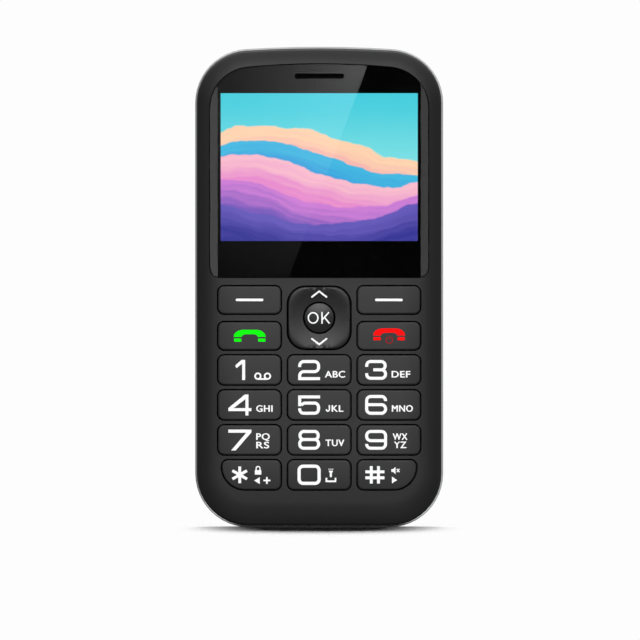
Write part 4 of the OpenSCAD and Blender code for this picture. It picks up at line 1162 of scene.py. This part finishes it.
@dataclass(frozen=True)
class Keypad:
    """The sixteen plain keys with their printed legends, in millimetres."""

    column: float = 17.3
    row: float = 8.68
    foot: float = 13.175
    soft_v: float = 56.59
    call_v: float = 47.67
    letter_h: float = 1.64
    hook_w: float = 1.42
    dash_half: float = 3.12
    dash_w: float = 0.63
    call_u: float = 0.06
    end_lift: float = 0.36
    power_at: Point = (0.1, -1.02)
    top: Flat = Flat(LAYOUT.thickness - LAYOUT.ink)
    tilt: float = 0.035
    digit_u: tuple[float, ...] = (-2.33, -2.5, -3.18)
    signs: SmallSigns = SmallSigns()
    keys: tuple[NumberKey, ...] = (
        NumberKey("key_1", "1", -1, 3),
        NumberKey("key_2", "2", 0, 3, (Caption("ABC", 1.4, -1.9, 5.05),)),
        NumberKey("key_3", "3", 1, 3, (Caption("DEF", 0.66, -1.9, 4.66),)),
        NumberKey("key_4", "4", -1, 2, (Caption("GHI", 1.65, -1.73, 4.1),)),
        NumberKey("key_5", "5", 0, 2, (Caption("JKL", 1.65, -1.71, 4.35),)),
        NumberKey("key_6", "6", 1, 2, (Caption("MNO", 0.72, -1.71, 5.25),)),
        NumberKey("key_7", "7", -1, 1, (Caption("PQ", 1.65, -0.02, 3.4), Caption("RS", 1.65, -2.12, 3.26))),
        NumberKey("key_8", "8", 0, 1, (Caption("TUV", 1.54, -1.56, 4.7),)),
        NumberKey("key_9", "9", 1, 1, (Caption("WX", 0.93, -0.02, 3.72), Caption("YZ", 1.25, -2.06, 3.1))),
        NumberKey("key_star", "*", -1, 0),
        NumberKey("key_0", "0", 0, 0),
        NumberKey("key_hash", "#", 1, 0),
    )

    def cap(self, node: str) -> None:
        """Shows a smooth copy of a key, its flat top lowered by a layer of ink.

        Args:
            node: Name of the key's node.
        """
        made = stand_in(node, node + "_cap", node, FINISHES.key, ink=LAYOUT.ink)
        self.cushion(made.data)

    def cushion(self, mesh: Mesh) -> None:
        """Shades a key's top as slightly cushioned.

        Args:
            mesh: The key's mesh.
        """
        front = min(point.co.y for point in mesh.vertices) + LEVEL_GAP
        crown = [point.co for point in mesh.vertices if point.co.y < front]
        low, high = min(p.z for p in crown), max(p.z for p in crown)
        normals = [corner.vector.copy() for corner in mesh.corner_normals]
        for loop in mesh.loops:
            place = mesh.vertices[loop.vertex_index].co
            if place.y < front:
                tilt = self.tilt * (2 * (place.z - low) / (high - low) - 1)
                normals[loop.index] = Vector((0.0, -1.0, tilt)).normalized()
        mesh.normals_split_custom_set(normals)

    def caption(self, legend: Legend, caption: Caption) -> None:
        """Prints small capitals; a leading J is drawn as a hook.

        Args:
            legend: The legend to print in.
            caption: The letters.
        """
        text, left, width = caption.text, caption.left, caption.width
        if text[0] == "J":
            hook = Stroke(((0.87, self.letter_h), (0.87, 0.17), (0.15, 0.17), (0.15, 0.6)), 0.36)
            legend.add(Mark((hook,), 0.33, (left, caption.foot)))
            text, left, width = text[1:], left + self.hook_w, width - self.hook_w
        legend.letters(text, self.letter_h, (left, caption.foot), width)

    def number_legend(self, key: NumberKey) -> None:
        """Prints a number key's digit, letters and small signs.

        Args:
            key: The key.
        """
        digits = Digits()
        digit_u = self.digit_u[key.column + 1] + {"*": -0.1, "#": -0.3}.get(key.digit, 0.0)
        legend = Legend(Mark(digits.shapes()[key.digit], digits.width, (digit_u, 0.0)))
        for caption in key.captions:
            self.caption(legend, caption)
        legend.add(*self.signs.beside_digits().get(key.digit, ()))
        middle = (key.column * self.column, self.foot + key.row * self.row)
        legend.lay(key.node + "_legend", key.node, FINISHES.white, self.top, middle)

    def function_legends(self) -> None:
        """Prints the soft keys' dashes, the two handsets and the power sign."""
        ends = ((-self.dash_half, 0.0), (self.dash_half, 0.0))
        dash = Mark((Stroke(ends, round_ends=True),), self.dash_w)
        for side, node in ((-1, "key_soft_left"), (1, "key_soft_right")):
            middle = (side * self.column, self.soft_v)
            Legend(dash).lay(node + "_legend", node, FINISHES.white, self.top, middle)
        calls = ((-1, "key_call", FINISHES.green, 0.0), (1, "key_end", FINISHES.red, self.end_lift))
        for side, node, ink, lift in calls:
            middle = (side * self.column + self.call_u, self.call_v + lift)
            Legend(*self.signs.handset()).lay(node + "_legend", node, ink, self.top, middle)
        middle = (self.column + self.power_at[0], self.call_v + self.power_at[1])
        Legend(self.signs.power()).lay("key_end_power", "key_end", FINISHES.dim_red, self.top, middle)

    def build(self) -> None:
        """Makes every cap and legend."""
        for key in self.keys:
            self.cap(key.node)
            self.number_legend(key)
        for node in ("key_soft_left", "key_soft_right", "key_call", "key_end"):
            self.cap(node)
        self.function_legends()


@dataclass(frozen=True)
class RockerPad:
    """The dished rocker pad and the round key in its middle, in millimetres."""

    middle_v: float = 52.13
    dish: float = 0.55
    big_dish: float = 53.2
    big_dome: float = 16.4
    sink: float = 0.1
    line_w: float = 0.34
    arrow_w: float = 0.42
    arrow_half: Point = (1.8, 0.7)
    arrow_v: float = 5.9

    def build(self) -> None:
        """Shows the pad and the key, and prints the arrows and the word on them."""
        for node, name, body in (("key_nav", "rocker_pad", Body.PAD), ("key_ok", "middle_key", Body.MIDDLE)):
            stand_in(node, name, body.value, FINISHES.pad)
        dished = Ball(LAYOUT.thickness - self.dish, self.big_dish, self.middle_v, True)
        domed = Ball(LAYOUT.thickness - self.sink, self.big_dome, self.middle_v, False)
        wide, tall = self.arrow_half
        for s, name in ((1, "arrow_up"), (-1, "arrow_down")):
            arrow = Stroke(((-wide, -s * tall), (0.0, s * tall), (wide, -s * tall)), round_ends=True)
            middle = (0.0, self.middle_v + s * self.arrow_v)
            Legend(Mark((arrow,), self.arrow_w)).lay(name, Body.PAD.value, FINISHES.white, dished, middle)
        first = Mark((circle(1.29, 36, 0.92),), self.line_w, (-1.5, 0.0))
        strokes = (((0.0, -1.46), (0.0, 1.46)), ((0.1, -0.42), (1.72, 1.4)), ((0.62, 0.12), (1.85, -1.42)))
        second = Mark(tuple(Stroke(ends) for ends in strokes), self.line_w, (0.7, 0.0))
        word = Legend(first, second)
        word.lay("middle_word", Body.MIDDLE.value, FINISHES.white, domed, (0.0, self.middle_v))


@dataclass(frozen=True)
class Screen:
    """The lit picture under the lens, in millimetres."""

    half_w: float = 24.48
    half_h: float = 18.36
    middle_v: float = 89.6
    back: float = 11.605
    front: float = 11.625

    def picture(self) -> LitScreen:
        """Gives the picture's finish.

        Returns:
            The finish.
        """
        waves = (
            Wave(0.30, 0.26, 1.7, 2.5, srgb(255, 214, 176), srgb(246, 178, 178)),
            Wave(0.12, 0.24, 1.9, 2.9, srgb(70, 186, 226), srgb(56, 150, 220)),
            Wave(-0.04, 0.22, 2.0, 3.3, srgb(250, 190, 206), srgb(232, 140, 206)),
            Wave(-0.36, 0.2, 2.2, 3.9, srgb(206, 128, 214), srgb(122, 92, 188)),
            Wave(-0.62, 0.16, 2.4, 4.6, srgb(104, 92, 186), srgb(58, 58, 150)),
        )
        return LitScreen("screen_picture", self.middle_v, self.half_w, self.half_h,
                         srgb(140, 232, 232), srgb(72, 206, 222), waves)

    def build(self) -> None:
        """Makes the thin lit panel on the display module."""
        form = bmesh.new()
        bmesh.ops.create_cube(form, size=1.0)
        size = Vector((2 * self.half_w, self.front - self.back, 2 * self.half_h)) * MM
        middle = LAYOUT.at(0.0, self.middle_v, (self.back + self.front) / 2)
        place = Matrix.LocRotScale(middle, None, size)
        bmesh.ops.transform(form, matrix=place, verts=form.verts)
        piece_from(mesh_from(form, "screen_picture"), "screen_picture", Body.MAIN.value, self.picture())


class WovenMesh:
    """Fine wire cloth over a sound opening, grown by nodes on a grid that is cut to a rounded strip."""

    def __init__(self) -> None:
        """Builds the node tree once, with named sizes."""
        self.tree = bpy.data.node_groups.new("wire_cloth", "GeometryNodeTree")
        for name in ("Length", "Width", "Pitch", "Wire"):
            self.tree.interface.new_socket(name, in_out="INPUT", socket_type="NodeSocketFloat")
        self.tree.interface.new_socket("Finish", in_out="INPUT", socket_type="NodeSocketMaterial")
        self.tree.interface.new_socket("Cloth", in_out="OUTPUT", socket_type="NodeSocketGeometry")
        make = Tree(self.tree)
        given = make.node("NodeGroupInput").outputs
        sides = {}
        for axis, name in (("X", "Length"), ("Y", "Width")):
            steps = make.math("DIVIDE", given[name], given["Pitch"])
            sides["Size " + axis] = given[name]
            sides["Vertices " + axis] = make.math("ADD", steps, 1.0)
        grid = make.node("GeometryNodeMeshGrid", sides)
        x, y, _ = make.axes(make.node("GeometryNodeInputPosition").outputs[0])
        half = make.math("MULTIPLY", given["Width"], 0.5)
        straight = make.math("SUBTRACT", make.math("MULTIPLY", given["Length"], 0.5), half)
        past = make.math("MAXIMUM", make.math("SUBTRACT", make.math("ABSOLUTE", x), straight), 0.0)
        square = make.math("ADD", make.math("MULTIPLY", past, past), make.math("MULTIPLY", y, y))
        outside = make.math("GREATER_THAN", make.math("SQRT", square), half)
        kept = make.node("GeometryNodeDeleteGeometry", {"Geometry": grid.outputs[0], "Selection": outside})
        wires = make.node("GeometryNodeMeshToCurve", {0: kept.outputs[0]})
        ring = make.node("GeometryNodeCurvePrimitiveCircle", {"Resolution": 5, "Radius": given["Wire"]})
        sweep = {"Curve": wires.outputs[0], "Profile Curve": ring.outputs[0]}
        tubes = make.node("GeometryNodeCurveToMesh", sweep)
        real = make.node("GeometryNodeRealizeInstances", {0: tubes.outputs[0]})
        coat = {"Geometry": real.outputs[0], "Material": given["Finish"]}
        done = make.node("GeometryNodeSetMaterial", coat)
        make.node("NodeGroupOutput", {0: done.outputs[0]})

    def cloth(self, name: str, size: Point, at: Vector, pitch: float = 0.4, wire: float = 0.055) -> None:
        """Grows one piece of cloth on the main body.

        Args:
            name: Name of the piece.
            size: Length and width in millimetres.
            at: Middle of the cloth in the row frame.
            pitch: Distance between two wires in millimetres.
            wire: Radius of a wire in millimetres.
        """
        maker = new_object(name + "_maker", bpy.data.meshes.new(name))
        grow = maker.modifiers.new("cloth", "NODES")
        grow.node_group = self.tree
        sizes = {"Length": size[0] * MM, "Width": size[1] * MM, "Pitch": pitch * MM, "Wire": wire * MM,
                 "Finish": FINISHES.wire.material()}
        for item in self.tree.interface.items_tree:
            if item.name in sizes:
                grow[item.identifier] = sizes[item.name]
        mesh = plain_mesh(maker)
        mesh.transform(Matrix.Translation(at) @ Matrix.Rotation(math.pi / 2, 4, "X"))
        piece_from(mesh, name, Body.MAIN.value, FINISHES.wire)


@dataclass(frozen=True)
class Outside:
    """The outer pieces that the lamps treat apart."""

    band: Thing
    shell: Thing
    lens: Thing


@dataclass(frozen=True)
class Casing:
    """The front shell, lens, silver band and rear cover, with the lens's outline in millimetres."""

    half_w: float = 27.24
    foot_v: float = 62.1
    head_v: float = 115.26
    corner_r: float = 10.4
    bow_r: float = 189.0
    foot_r: float = 2.6
    lens_top: float = 13.5
    slope_w: float = 2.04
    slope_h: float = 0.4
    lens_crease: float = 9.0
    line_inset: float = 0.02
    line_w: float = 0.24

    def lens_level(self, u: float, v: float) -> float:
        """Gives the level of the lens's face, which slopes at both sides."""
        return self.lens_top - self.slope_h * max(0.0, abs(u) - self.half_w + self.slope_w) / self.slope_w

    def lens_outline(self, inset: float) -> tuple[Point, ...]:
        """Gives the corners of the lens's outline, moved inward.

        Args:
            inset: How far it is moved inward.

        Returns:
            The corners in order, from the middle of the head.
        """
        r, bow, foot = self.corner_r - inset, self.bow_r - inset, self.foot_r - inset
        reach, bow_v = self.half_w - self.corner_r, self.head_v - inset - bow
        tilt = math.asin(reach / (bow - r))
        low = bow_v + (bow - r) * math.cos(tilt)
        turns = [tilt * k / 12 for k in range(12)]
        half = [(bow * math.sin(t), bow_v + bow * math.cos(t)) for t in turns]
        turns = [tilt + (math.pi / 2 - tilt) * k / 24 for k in range(25)]
        half += [(reach + r * math.sin(t), low + r * math.cos(t)) for t in turns]
        middle = (self.half_w - self.foot_r, self.foot_v + self.foot_r)
        turns = [math.pi / 2 * k / 8 for k in range(9)]
        half += [(middle[0] + foot * math.cos(t), middle[1] - foot * math.sin(t)) for t in turns]
        return tuple(half + [(-u, v) for u, v in reversed(half[1:])])

    def build(self) -> Outside:
        """Shows smooth copies of the outer pieces and draws the dark line round the lens.

        Returns:
            The pieces that the lamps treat apart.
        """
        main, cover = Body.MAIN.value, Body.COVER.value
        shell = stand_in("front_housing", "front_shell", main, FINISHES.shell)
        band = stand_in("side_band", "silver_band", main, FINISHES.band)
        stand_in("rear_cover", "back_cover", cover, FINISHES.cover)
        lens = stand_in("display_lens", "clear_lens", main, FINISHES.lens, self.lens_crease)
        rim = Mark((Stroke(self.lens_outline(self.line_inset), closed=True),), self.line_w)
        Legend(rim).lay("lens_line", main, FINISHES.black, self.lens_level, (0.0, 0.0))
        return Outside(band, shell, lens)


@dataclass(frozen=True)
class RearCamera:
    """The camera's window with mask and trim, the lens in its barrel and the torch lens, in millimetres."""

    middle_v: float = 104.0
    glass_r: float = 4.4
    glass_back: float = 0.05
    glass_front: float = 0.8
    bevel: float = 0.1
    mask_r: float = 2.95
    mask_w: float = 1.24
    mask_gap: float = 0.002
    trim_r: float = 4.12
    trim_w: float = 0.3
    lens_r: float = 1.7
    lens_back: float = 1.85
    lens_front: float = 2.53
    big_lens: float = 2.6
    torch_u: float = 8.5
    torch_r: float = 1.8
    collar_r: float = 2.6
    collar: Point = (2.57, 3.35)
    ridges: int = 4
    ridge_h: float = 0.09
    ridge_share: float = 0.8

    def window(self) -> None:
        """Makes the glass, the black mask behind it and the thin trim on it."""
        r, low, high, cut = self.glass_r, self.glass_back, self.glass_front, self.bevel
        middle, cover = (0.0, self.middle_v), Body.COVER.value
        profile = ((0.0, low), (r - cut, low), (r, low + cut), (r, high), (0.0, high))
        glass = piece_from(turned(profile, middle, "camera_glass"), "camera_glass", cover, FINISHES.window)
        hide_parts("camera_window")
        for name, radius, width, level, finish in (
            ("camera_mask", self.mask_r, self.mask_w, high + LAYOUT.ink + self.mask_gap, FINISHES.black),
            ("camera_trim", self.trim_r, self.trim_w, low, FINISHES.steel),
        ):
            ring = Legend(Mark((circle(radius, 72),), width))
            ring.lay(name, cover, finish, Flat(level), middle, Side.BACK)

    def lens(self) -> None:
        """Makes the domed lens in the camera's barrel."""
        reach = math.asin(self.lens_r / self.big_lens)
        turns, ball = [reach * k / 10 for k in range(11)], self.big_lens
        dome = [(ball * math.sin(t), self.lens_back + ball * (1 - math.cos(t))) for t in turns]
        profile = (*dome, (self.lens_r, self.lens_front), (0.0, self.lens_front))
        mesh = turned(profile, (0.0, self.middle_v), "camera_lens")
        piece_from(mesh, "camera_lens", Body.MAIN.value, FINISHES.coated)

    def torch(self) -> None:
        """Makes the torch's clear guide, with rings on its outer face."""
        front = (LAYOUT.thickness / 2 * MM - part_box("flash_guide")[0][1]) / MM
        step, r = self.torch_r / self.ridges, self.torch_r
        rings = [(k * step + part, self.glass_back + rise) for k in range(self.ridges)
                 for part, rise in ((0.0, self.ridge_h), (step * self.ridge_share, 0.0))]
        low, high = self.collar
        profile = (*rings, (r, self.glass_back + self.ridge_h), (r, low), (self.collar_r, low),
                   (self.collar_r, high), (r, high), (r, front), (0.0, front))
        mesh = turned(profile, (self.torch_u, self.middle_v), "torch_guide", 48)
        made = piece_from(mesh, "torch_guide", Body.MAIN.value, FINISHES.guide)
        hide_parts("flash_guide")

    def build(self) -> None:
        """Makes every piece of the camera and the torch."""
        self.window()
        self.lens()
        self.torch()


@dataclass(frozen=True)
class Insides:
    """The pieces inside, most of them shown as their CAD solids, and the battery's print in millimetres."""

    label_v: float = 34.5
    label_w: float = 30.0
    label_h: float = 44.0
    label_r: float = 1.6
    battery_back: Flat = Flat(1.4)
    mark_u: float = 2.95
    mark_v: float = 60.0
    mark_half: float = 0.8
    mark_w: float = 0.36
    earpiece_size: Point = (12.2, 1.2)
    earpiece_at: Place = (0.0, 112.16, 11.96)
    speaker_size: Point = (14.4, 14.4)
    speaker_at: Place = (-11.0, 84.0, 1.32)

    def battery_print(self) -> None:
        """Lays the battery's bare label and the signs of its poles."""
        a, b, c, main = self.label_w / 2, self.label_h / 2, self.mark_half, Body.MAIN.value
        corners = Stroke(((-a, -b), (a, -b), (a, b), (-a, b)), self.label_r, True).centre_line(4.0)
        label = Legend(Mark((Patch(tuple((p.x, p.y) for p in corners)),)))
        label.lay("battery_label", main, FINISHES.label, self.battery_back, (0.0, self.label_v), Side.BACK)
        flat, upright = Stroke(((-c, 0.0), (c, 0.0))), Stroke(((0.0, -c), (0.0, c)))
        signs = Legend(Mark((flat, upright), self.mark_w, (self.mark_u, 0.0)),
                       Mark((flat,), self.mark_w, (-self.mark_u, 0.0)))
        signs.lay("battery_signs", main, FINISHES.white, self.battery_back, (0.0, self.mark_v), Side.BACK)

    def build(self) -> None:
        """Gives every inner node its finish, and adds wire cloth and the battery's label."""
        for finish, *nodes in (
            (FINISHES.black, "lens_tape"),
            (FINISHES.chassis, "chassis"),
            (FINISHES.battery, "battery"),
            (FINISHES.board, "main_board"),
            (FINISHES.module, "display_module"),
            (FINISHES.foam, "display_cushion"),
            (FINISHES.film, "display_flex"),
            (FINISHES.silicone, "keypad_mat"),
            (FINISHES.domes, "dome_sheet"),
            (FINISHES.sound, "earpiece", "loudspeaker"),
            (FINISHES.woven, "earpiece_mesh", "speaker_mesh"),
            (FINISHES.brass, "microphone", "battery_contacts", "antenna"),
            (FINISHES.camera, "camera_module"),
            (FINISHES.lamp, "flash_led"),
            (FINISHES.socket, "audio_jack"),
            (FINISHES.steel, "vibration_motor", "charge_port", "sim_holders", "card_holder", "shield_cans"),
            (FINISHES.steel, "screws"),
        ):
            for node in nodes:
                dress(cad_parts[node], finish)
        woven = WovenMesh()
        woven.cloth("earpiece_cloth", self.earpiece_size, LAYOUT.at(*self.earpiece_at))
        woven.cloth("speaker_cloth", self.speaker_size, LAYOUT.at(*self.speaker_at))
        self.battery_print()


@dataclass(frozen=True)
class Lamp:
    """An even area lamp: place, size and aim in metres, brightness, what it lights, if it passes the floor."""

    name: str
    at: Place
    size: Point
    radiance: float
    lit: Lit = Lit.FRONT
    past_floor: bool = False
    aim: Place = (0.0, 0.0, 0.06)

    def hang(self) -> Thing:
        """Makes the lamp.

        Returns:
            The lamp.
        """
        data = bpy.data.lights.new(self.name, "AREA")
        data.shape = "RECTANGLE"
        data.size, data.size_y = self.size
        data.energy = self.radiance * math.pi * self.size[0] * self.size[1]
        made = new_object(self.name, data)
        made.location = self.at
        made.rotation_mode = "QUATERNION"
        made.rotation_quaternion = (Vector(self.aim) - Vector(self.at)).to_track_quat("-Z", "Y")
        made.visible_camera = False
        return made


LAMPS = (
    Lamp("bounce_lamp", (0.0, -0.6, -0.45), (0.9, 0.5), 1.0, past_floor=True),
    Lamp("band_lamp_foot_left", (-0.56, -0.8, -0.6), (0.6, 0.5), 1.3, Lit.BAND, True),
    Lamp("band_lamp_foot_right", (0.56, -0.8, -0.6), (0.6, 0.5), 1.3, Lit.BAND, True),
    Lamp("front_lamp", (0.0, -1.0, 0.5), (0.7, 0.5), 12.0),
    Lamp("top_lamp", (0.0, 0.25, 0.95), (1.5, 0.36), 6.6),
    Lamp("rear_lamp", (0.0, 1.0, 0.5), (0.7, 0.5), 9.0, Lit.REAR),
    Lamp("band_lamp_left", (-0.78, -0.88, 0.06), (1.4, 1.2), 0.28, Lit.BAND),
    Lamp("band_lamp_right", (0.78, -0.88, 0.06), (1.4, 1.2), 0.6, Lit.BAND),
    Lamp("band_lamp_top", (0.0, -0.88, 0.84), (1.2, 1.3), 0.7, Lit.BAND),
    Lamp("left_lamp", (-0.4, -0.95, 0.06), (0.2, 0.9), 1.5, Lit.LENS),
    Lamp("right_lamp", (0.4, -0.95, 0.06), (0.2, 0.9), 1.2, Lit.LENS),
    Lamp("floor_lamp", (0.0, 0.26, 0.95), (0.26, 0.24), 57.0, Lit.FLOOR, aim=(0.0, 0.0, 0.0)),
)


@dataclass(frozen=True)
class Studio:
    """Camera, lamps, floor and surroundings, in metres unless said."""

    distance: float = 1.6
    eye_x: float = 0.0002
    eye_z: float = 0.0516
    frame_w: float = 0.1589
    sensor: float = 36.0
    front_y: float = -0.0065
    floor_reach: float = 0.2
    floor_z: float = -0.00002
    card_depth: float = 2.2
    card_bright: Point = (9.0, 113.0)
    card: tuple[Point, ...] = ((-34.0, 56.0), (-9.8, 56.0), (14.7, 122.0), (-34.0, 122.0))
    room: float = 0.27
    room_right: float = 0.12
    room_top: float = 0.5
    room_foot: float = 0.3
    room_slant: float = 0.5
    room_front: Point = (-0.75, -0.4)
    room_least: float = 0.008
    white: float = 0.982

    def camera(self) -> None:
        """Makes the level camera with a long lens."""
        data = bpy.data.cameras.new("front_camera")
        data.sensor_width = self.sensor
        data.lens = self.sensor * self.distance / self.frame_w
        data.clip_end = 50.0
        made = new_object("front_camera", data)
        made.location = (self.eye_x, self.front_y - self.distance, self.eye_z)
        made.rotation_euler = (math.pi / 2, 0.0, 0.0)
        bpy.context.scene.camera = made

    def linked(self, name: str, state: str, *things: Thing) -> bpy.types.Collection:
        """Makes a set of things that a lamp lights or leaves out.

        Args:
            name: Name of the set.
            state: INCLUDE or EXCLUDE.
            things: What is in it.

        Returns:
            The set.
        """
        made = bpy.data.collections.new(name)
        for i, thing in enumerate(things):
            made.objects.link(thing)
            made.collection_objects[i].light_linking.link_state = state
        return made

    def lamps(self, floor: Thing, outside: Outside) -> None:
        """Hangs the phone's lamps, those for the band or the lens alone, and one for the floor alone.

        Args:
            floor: The floor.
            outside: The outer pieces that the lamps treat apart.
        """
        above = self.linked("all_but_the_floor", "EXCLUDE", floor)
        sets = {lit: self.linked(lit.value, state, *things) for lit, state, things in (
            (Lit.FRONT, "EXCLUDE", (floor, outside.band)),
            (Lit.REAR, "EXCLUDE", (floor, outside.band, outside.shell)),
            (Lit.BAND, "INCLUDE", (outside.band,)),
            (Lit.LENS, "INCLUDE", (outside.lens,)),
            (Lit.FLOOR, "INCLUDE", (floor,)),
        )}
        for lamp in LAMPS:
            made = lamp.hang()
            made.light_linking.receiver_collection = sets[lamp.lit]
            if lamp.past_floor:
                made.light_linking.blocker_collection = above

    def reflected(self, u: float, v: float) -> Place:
        """Finds where the mirror line from a point of the flat lens meets the card's plane behind the camera.

        Args:
            u: Place across the lens, in millimetres.
            v: Place up the lens, in millimetres.

        Returns:
            The point on that plane.
        """
        grow = 1 + self.card_depth / self.distance
        x, z = (eye + (place * MM - eye) * grow for eye, place in ((self.eye_x, u), (self.eye_z, v)))
        return (x, self.front_y - self.card_depth, z)

    def sheet(self, name: str, corners: Sequence[Place], finish: Finish) -> Thing:
        """Makes a flat sheet for the studio.

        Args:
            name: Name of the sheet.
            corners: Its four corners.
            finish: Its finish.

        Returns:
            The sheet.
        """
        mesh = bpy.data.meshes.new(name)
        mesh.from_pydata(corners, [], [(0, 1, 2, 3)])
        made = new_object(name, mesh)
        dress(made, finish)
        return made

    def glow_card(self) -> None:
        """Hangs a pale card behind the camera, which the lens mirrors with a slanting edge."""
        glow = CardGlow("card_glow", self.reflected(*self.card_bright))
        made = self.sheet("glow_card", [self.reflected(u, v) for u, v in self.card], glow)
        made.visible_camera = made.visible_diffuse = made.visible_shadow = False

    def floor(self) -> Thing:
        """Lays a pale floor that fades into the background.

        Returns:
            The floor.
        """
        corners = ((-1, -1), (1, -1), (1, 1), (-1, 1))
        places = [(x * self.floor_reach, y * self.floor_reach, self.floor_z) for x, y in corners]
        made = self.sheet("floor", places, FloorPaint("floor_paint"))
        made.visible_glossy = False
        return made

    def surroundings(self) -> None:
        """Makes the room: pale behind the phone, dim behind the camera, white where the camera sees it."""
        world = bpy.data.worlds.new("room")
        bpy.context.scene.world = world
        world.use_nodes = True
        tree = Tree(world.node_tree)
        x, y, z = tree.axes(tree.node("ShaderNodeTexCoord").outputs["Generated"])
        side = tree.math("MULTIPLY", x, self.room_right)
        over = tree.math("MULTIPLY", tree.math("MAXIMUM", z, 0.0), self.room_top)
        under = tree.math("MULTIPLY", tree.math("MINIMUM", z, 0.0), self.room_foot)
        slant = tree.math("MULTIPLY", tree.math("ABSOLUTE", tree.math("MULTIPLY", x, z)), self.room_slant)
        glow = tree.chain("ADD", side, over, under, slant, self.room)
        path = tree.node("ShaderNodeLightPath").outputs
        mirrored = tree.math("MAXIMUM", path["Is Glossy Ray"], path["Is Transmission Ray"])
        direct = tree.math("LESS_THAN", path["Diffuse Depth"], 0.5)
        room = tree.chain("MULTIPLY", tree.spread(y, *self.room_front, 0.0, 1.0), glow, mirrored, direct)
        level = tree.math("ADD", room, self.room_least)
        strength = tree.math("MINIMUM", tree.math("MAXIMUM", path["Is Camera Ray"], level), self.white)
        light = tree.node("ShaderNodeBackground", {"Color": (1.0, 1.0, 1.0, 1.0), "Strength": strength})
        tree.node("ShaderNodeOutputWorld", {"Surface": light.outputs[0]})

    def build(self, outside: Outside) -> None:
        """Sets up the whole studio.

        Args:
            outside: The outer pieces that the lamps treat apart.
        """
        bpy.context.scene.view_settings.view_transform = "Standard"
        self.camera()
        self.surroundings()
        self.lamps(self.floor(), outside)
        self.glow_card()


def main() -> None:
    """Builds the studio and dresses every sub-assembly of the phone."""
    logging.basicConfig(level=logging.INFO, format="%(name)s: %(message)s")
    Studio().build(Casing().build())
    RearCamera().build()
    Insides().build()
    Screen().build()
    Keypad().build()
    RockerPad().build()
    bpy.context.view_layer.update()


if __name__ == "__main__":
    main()
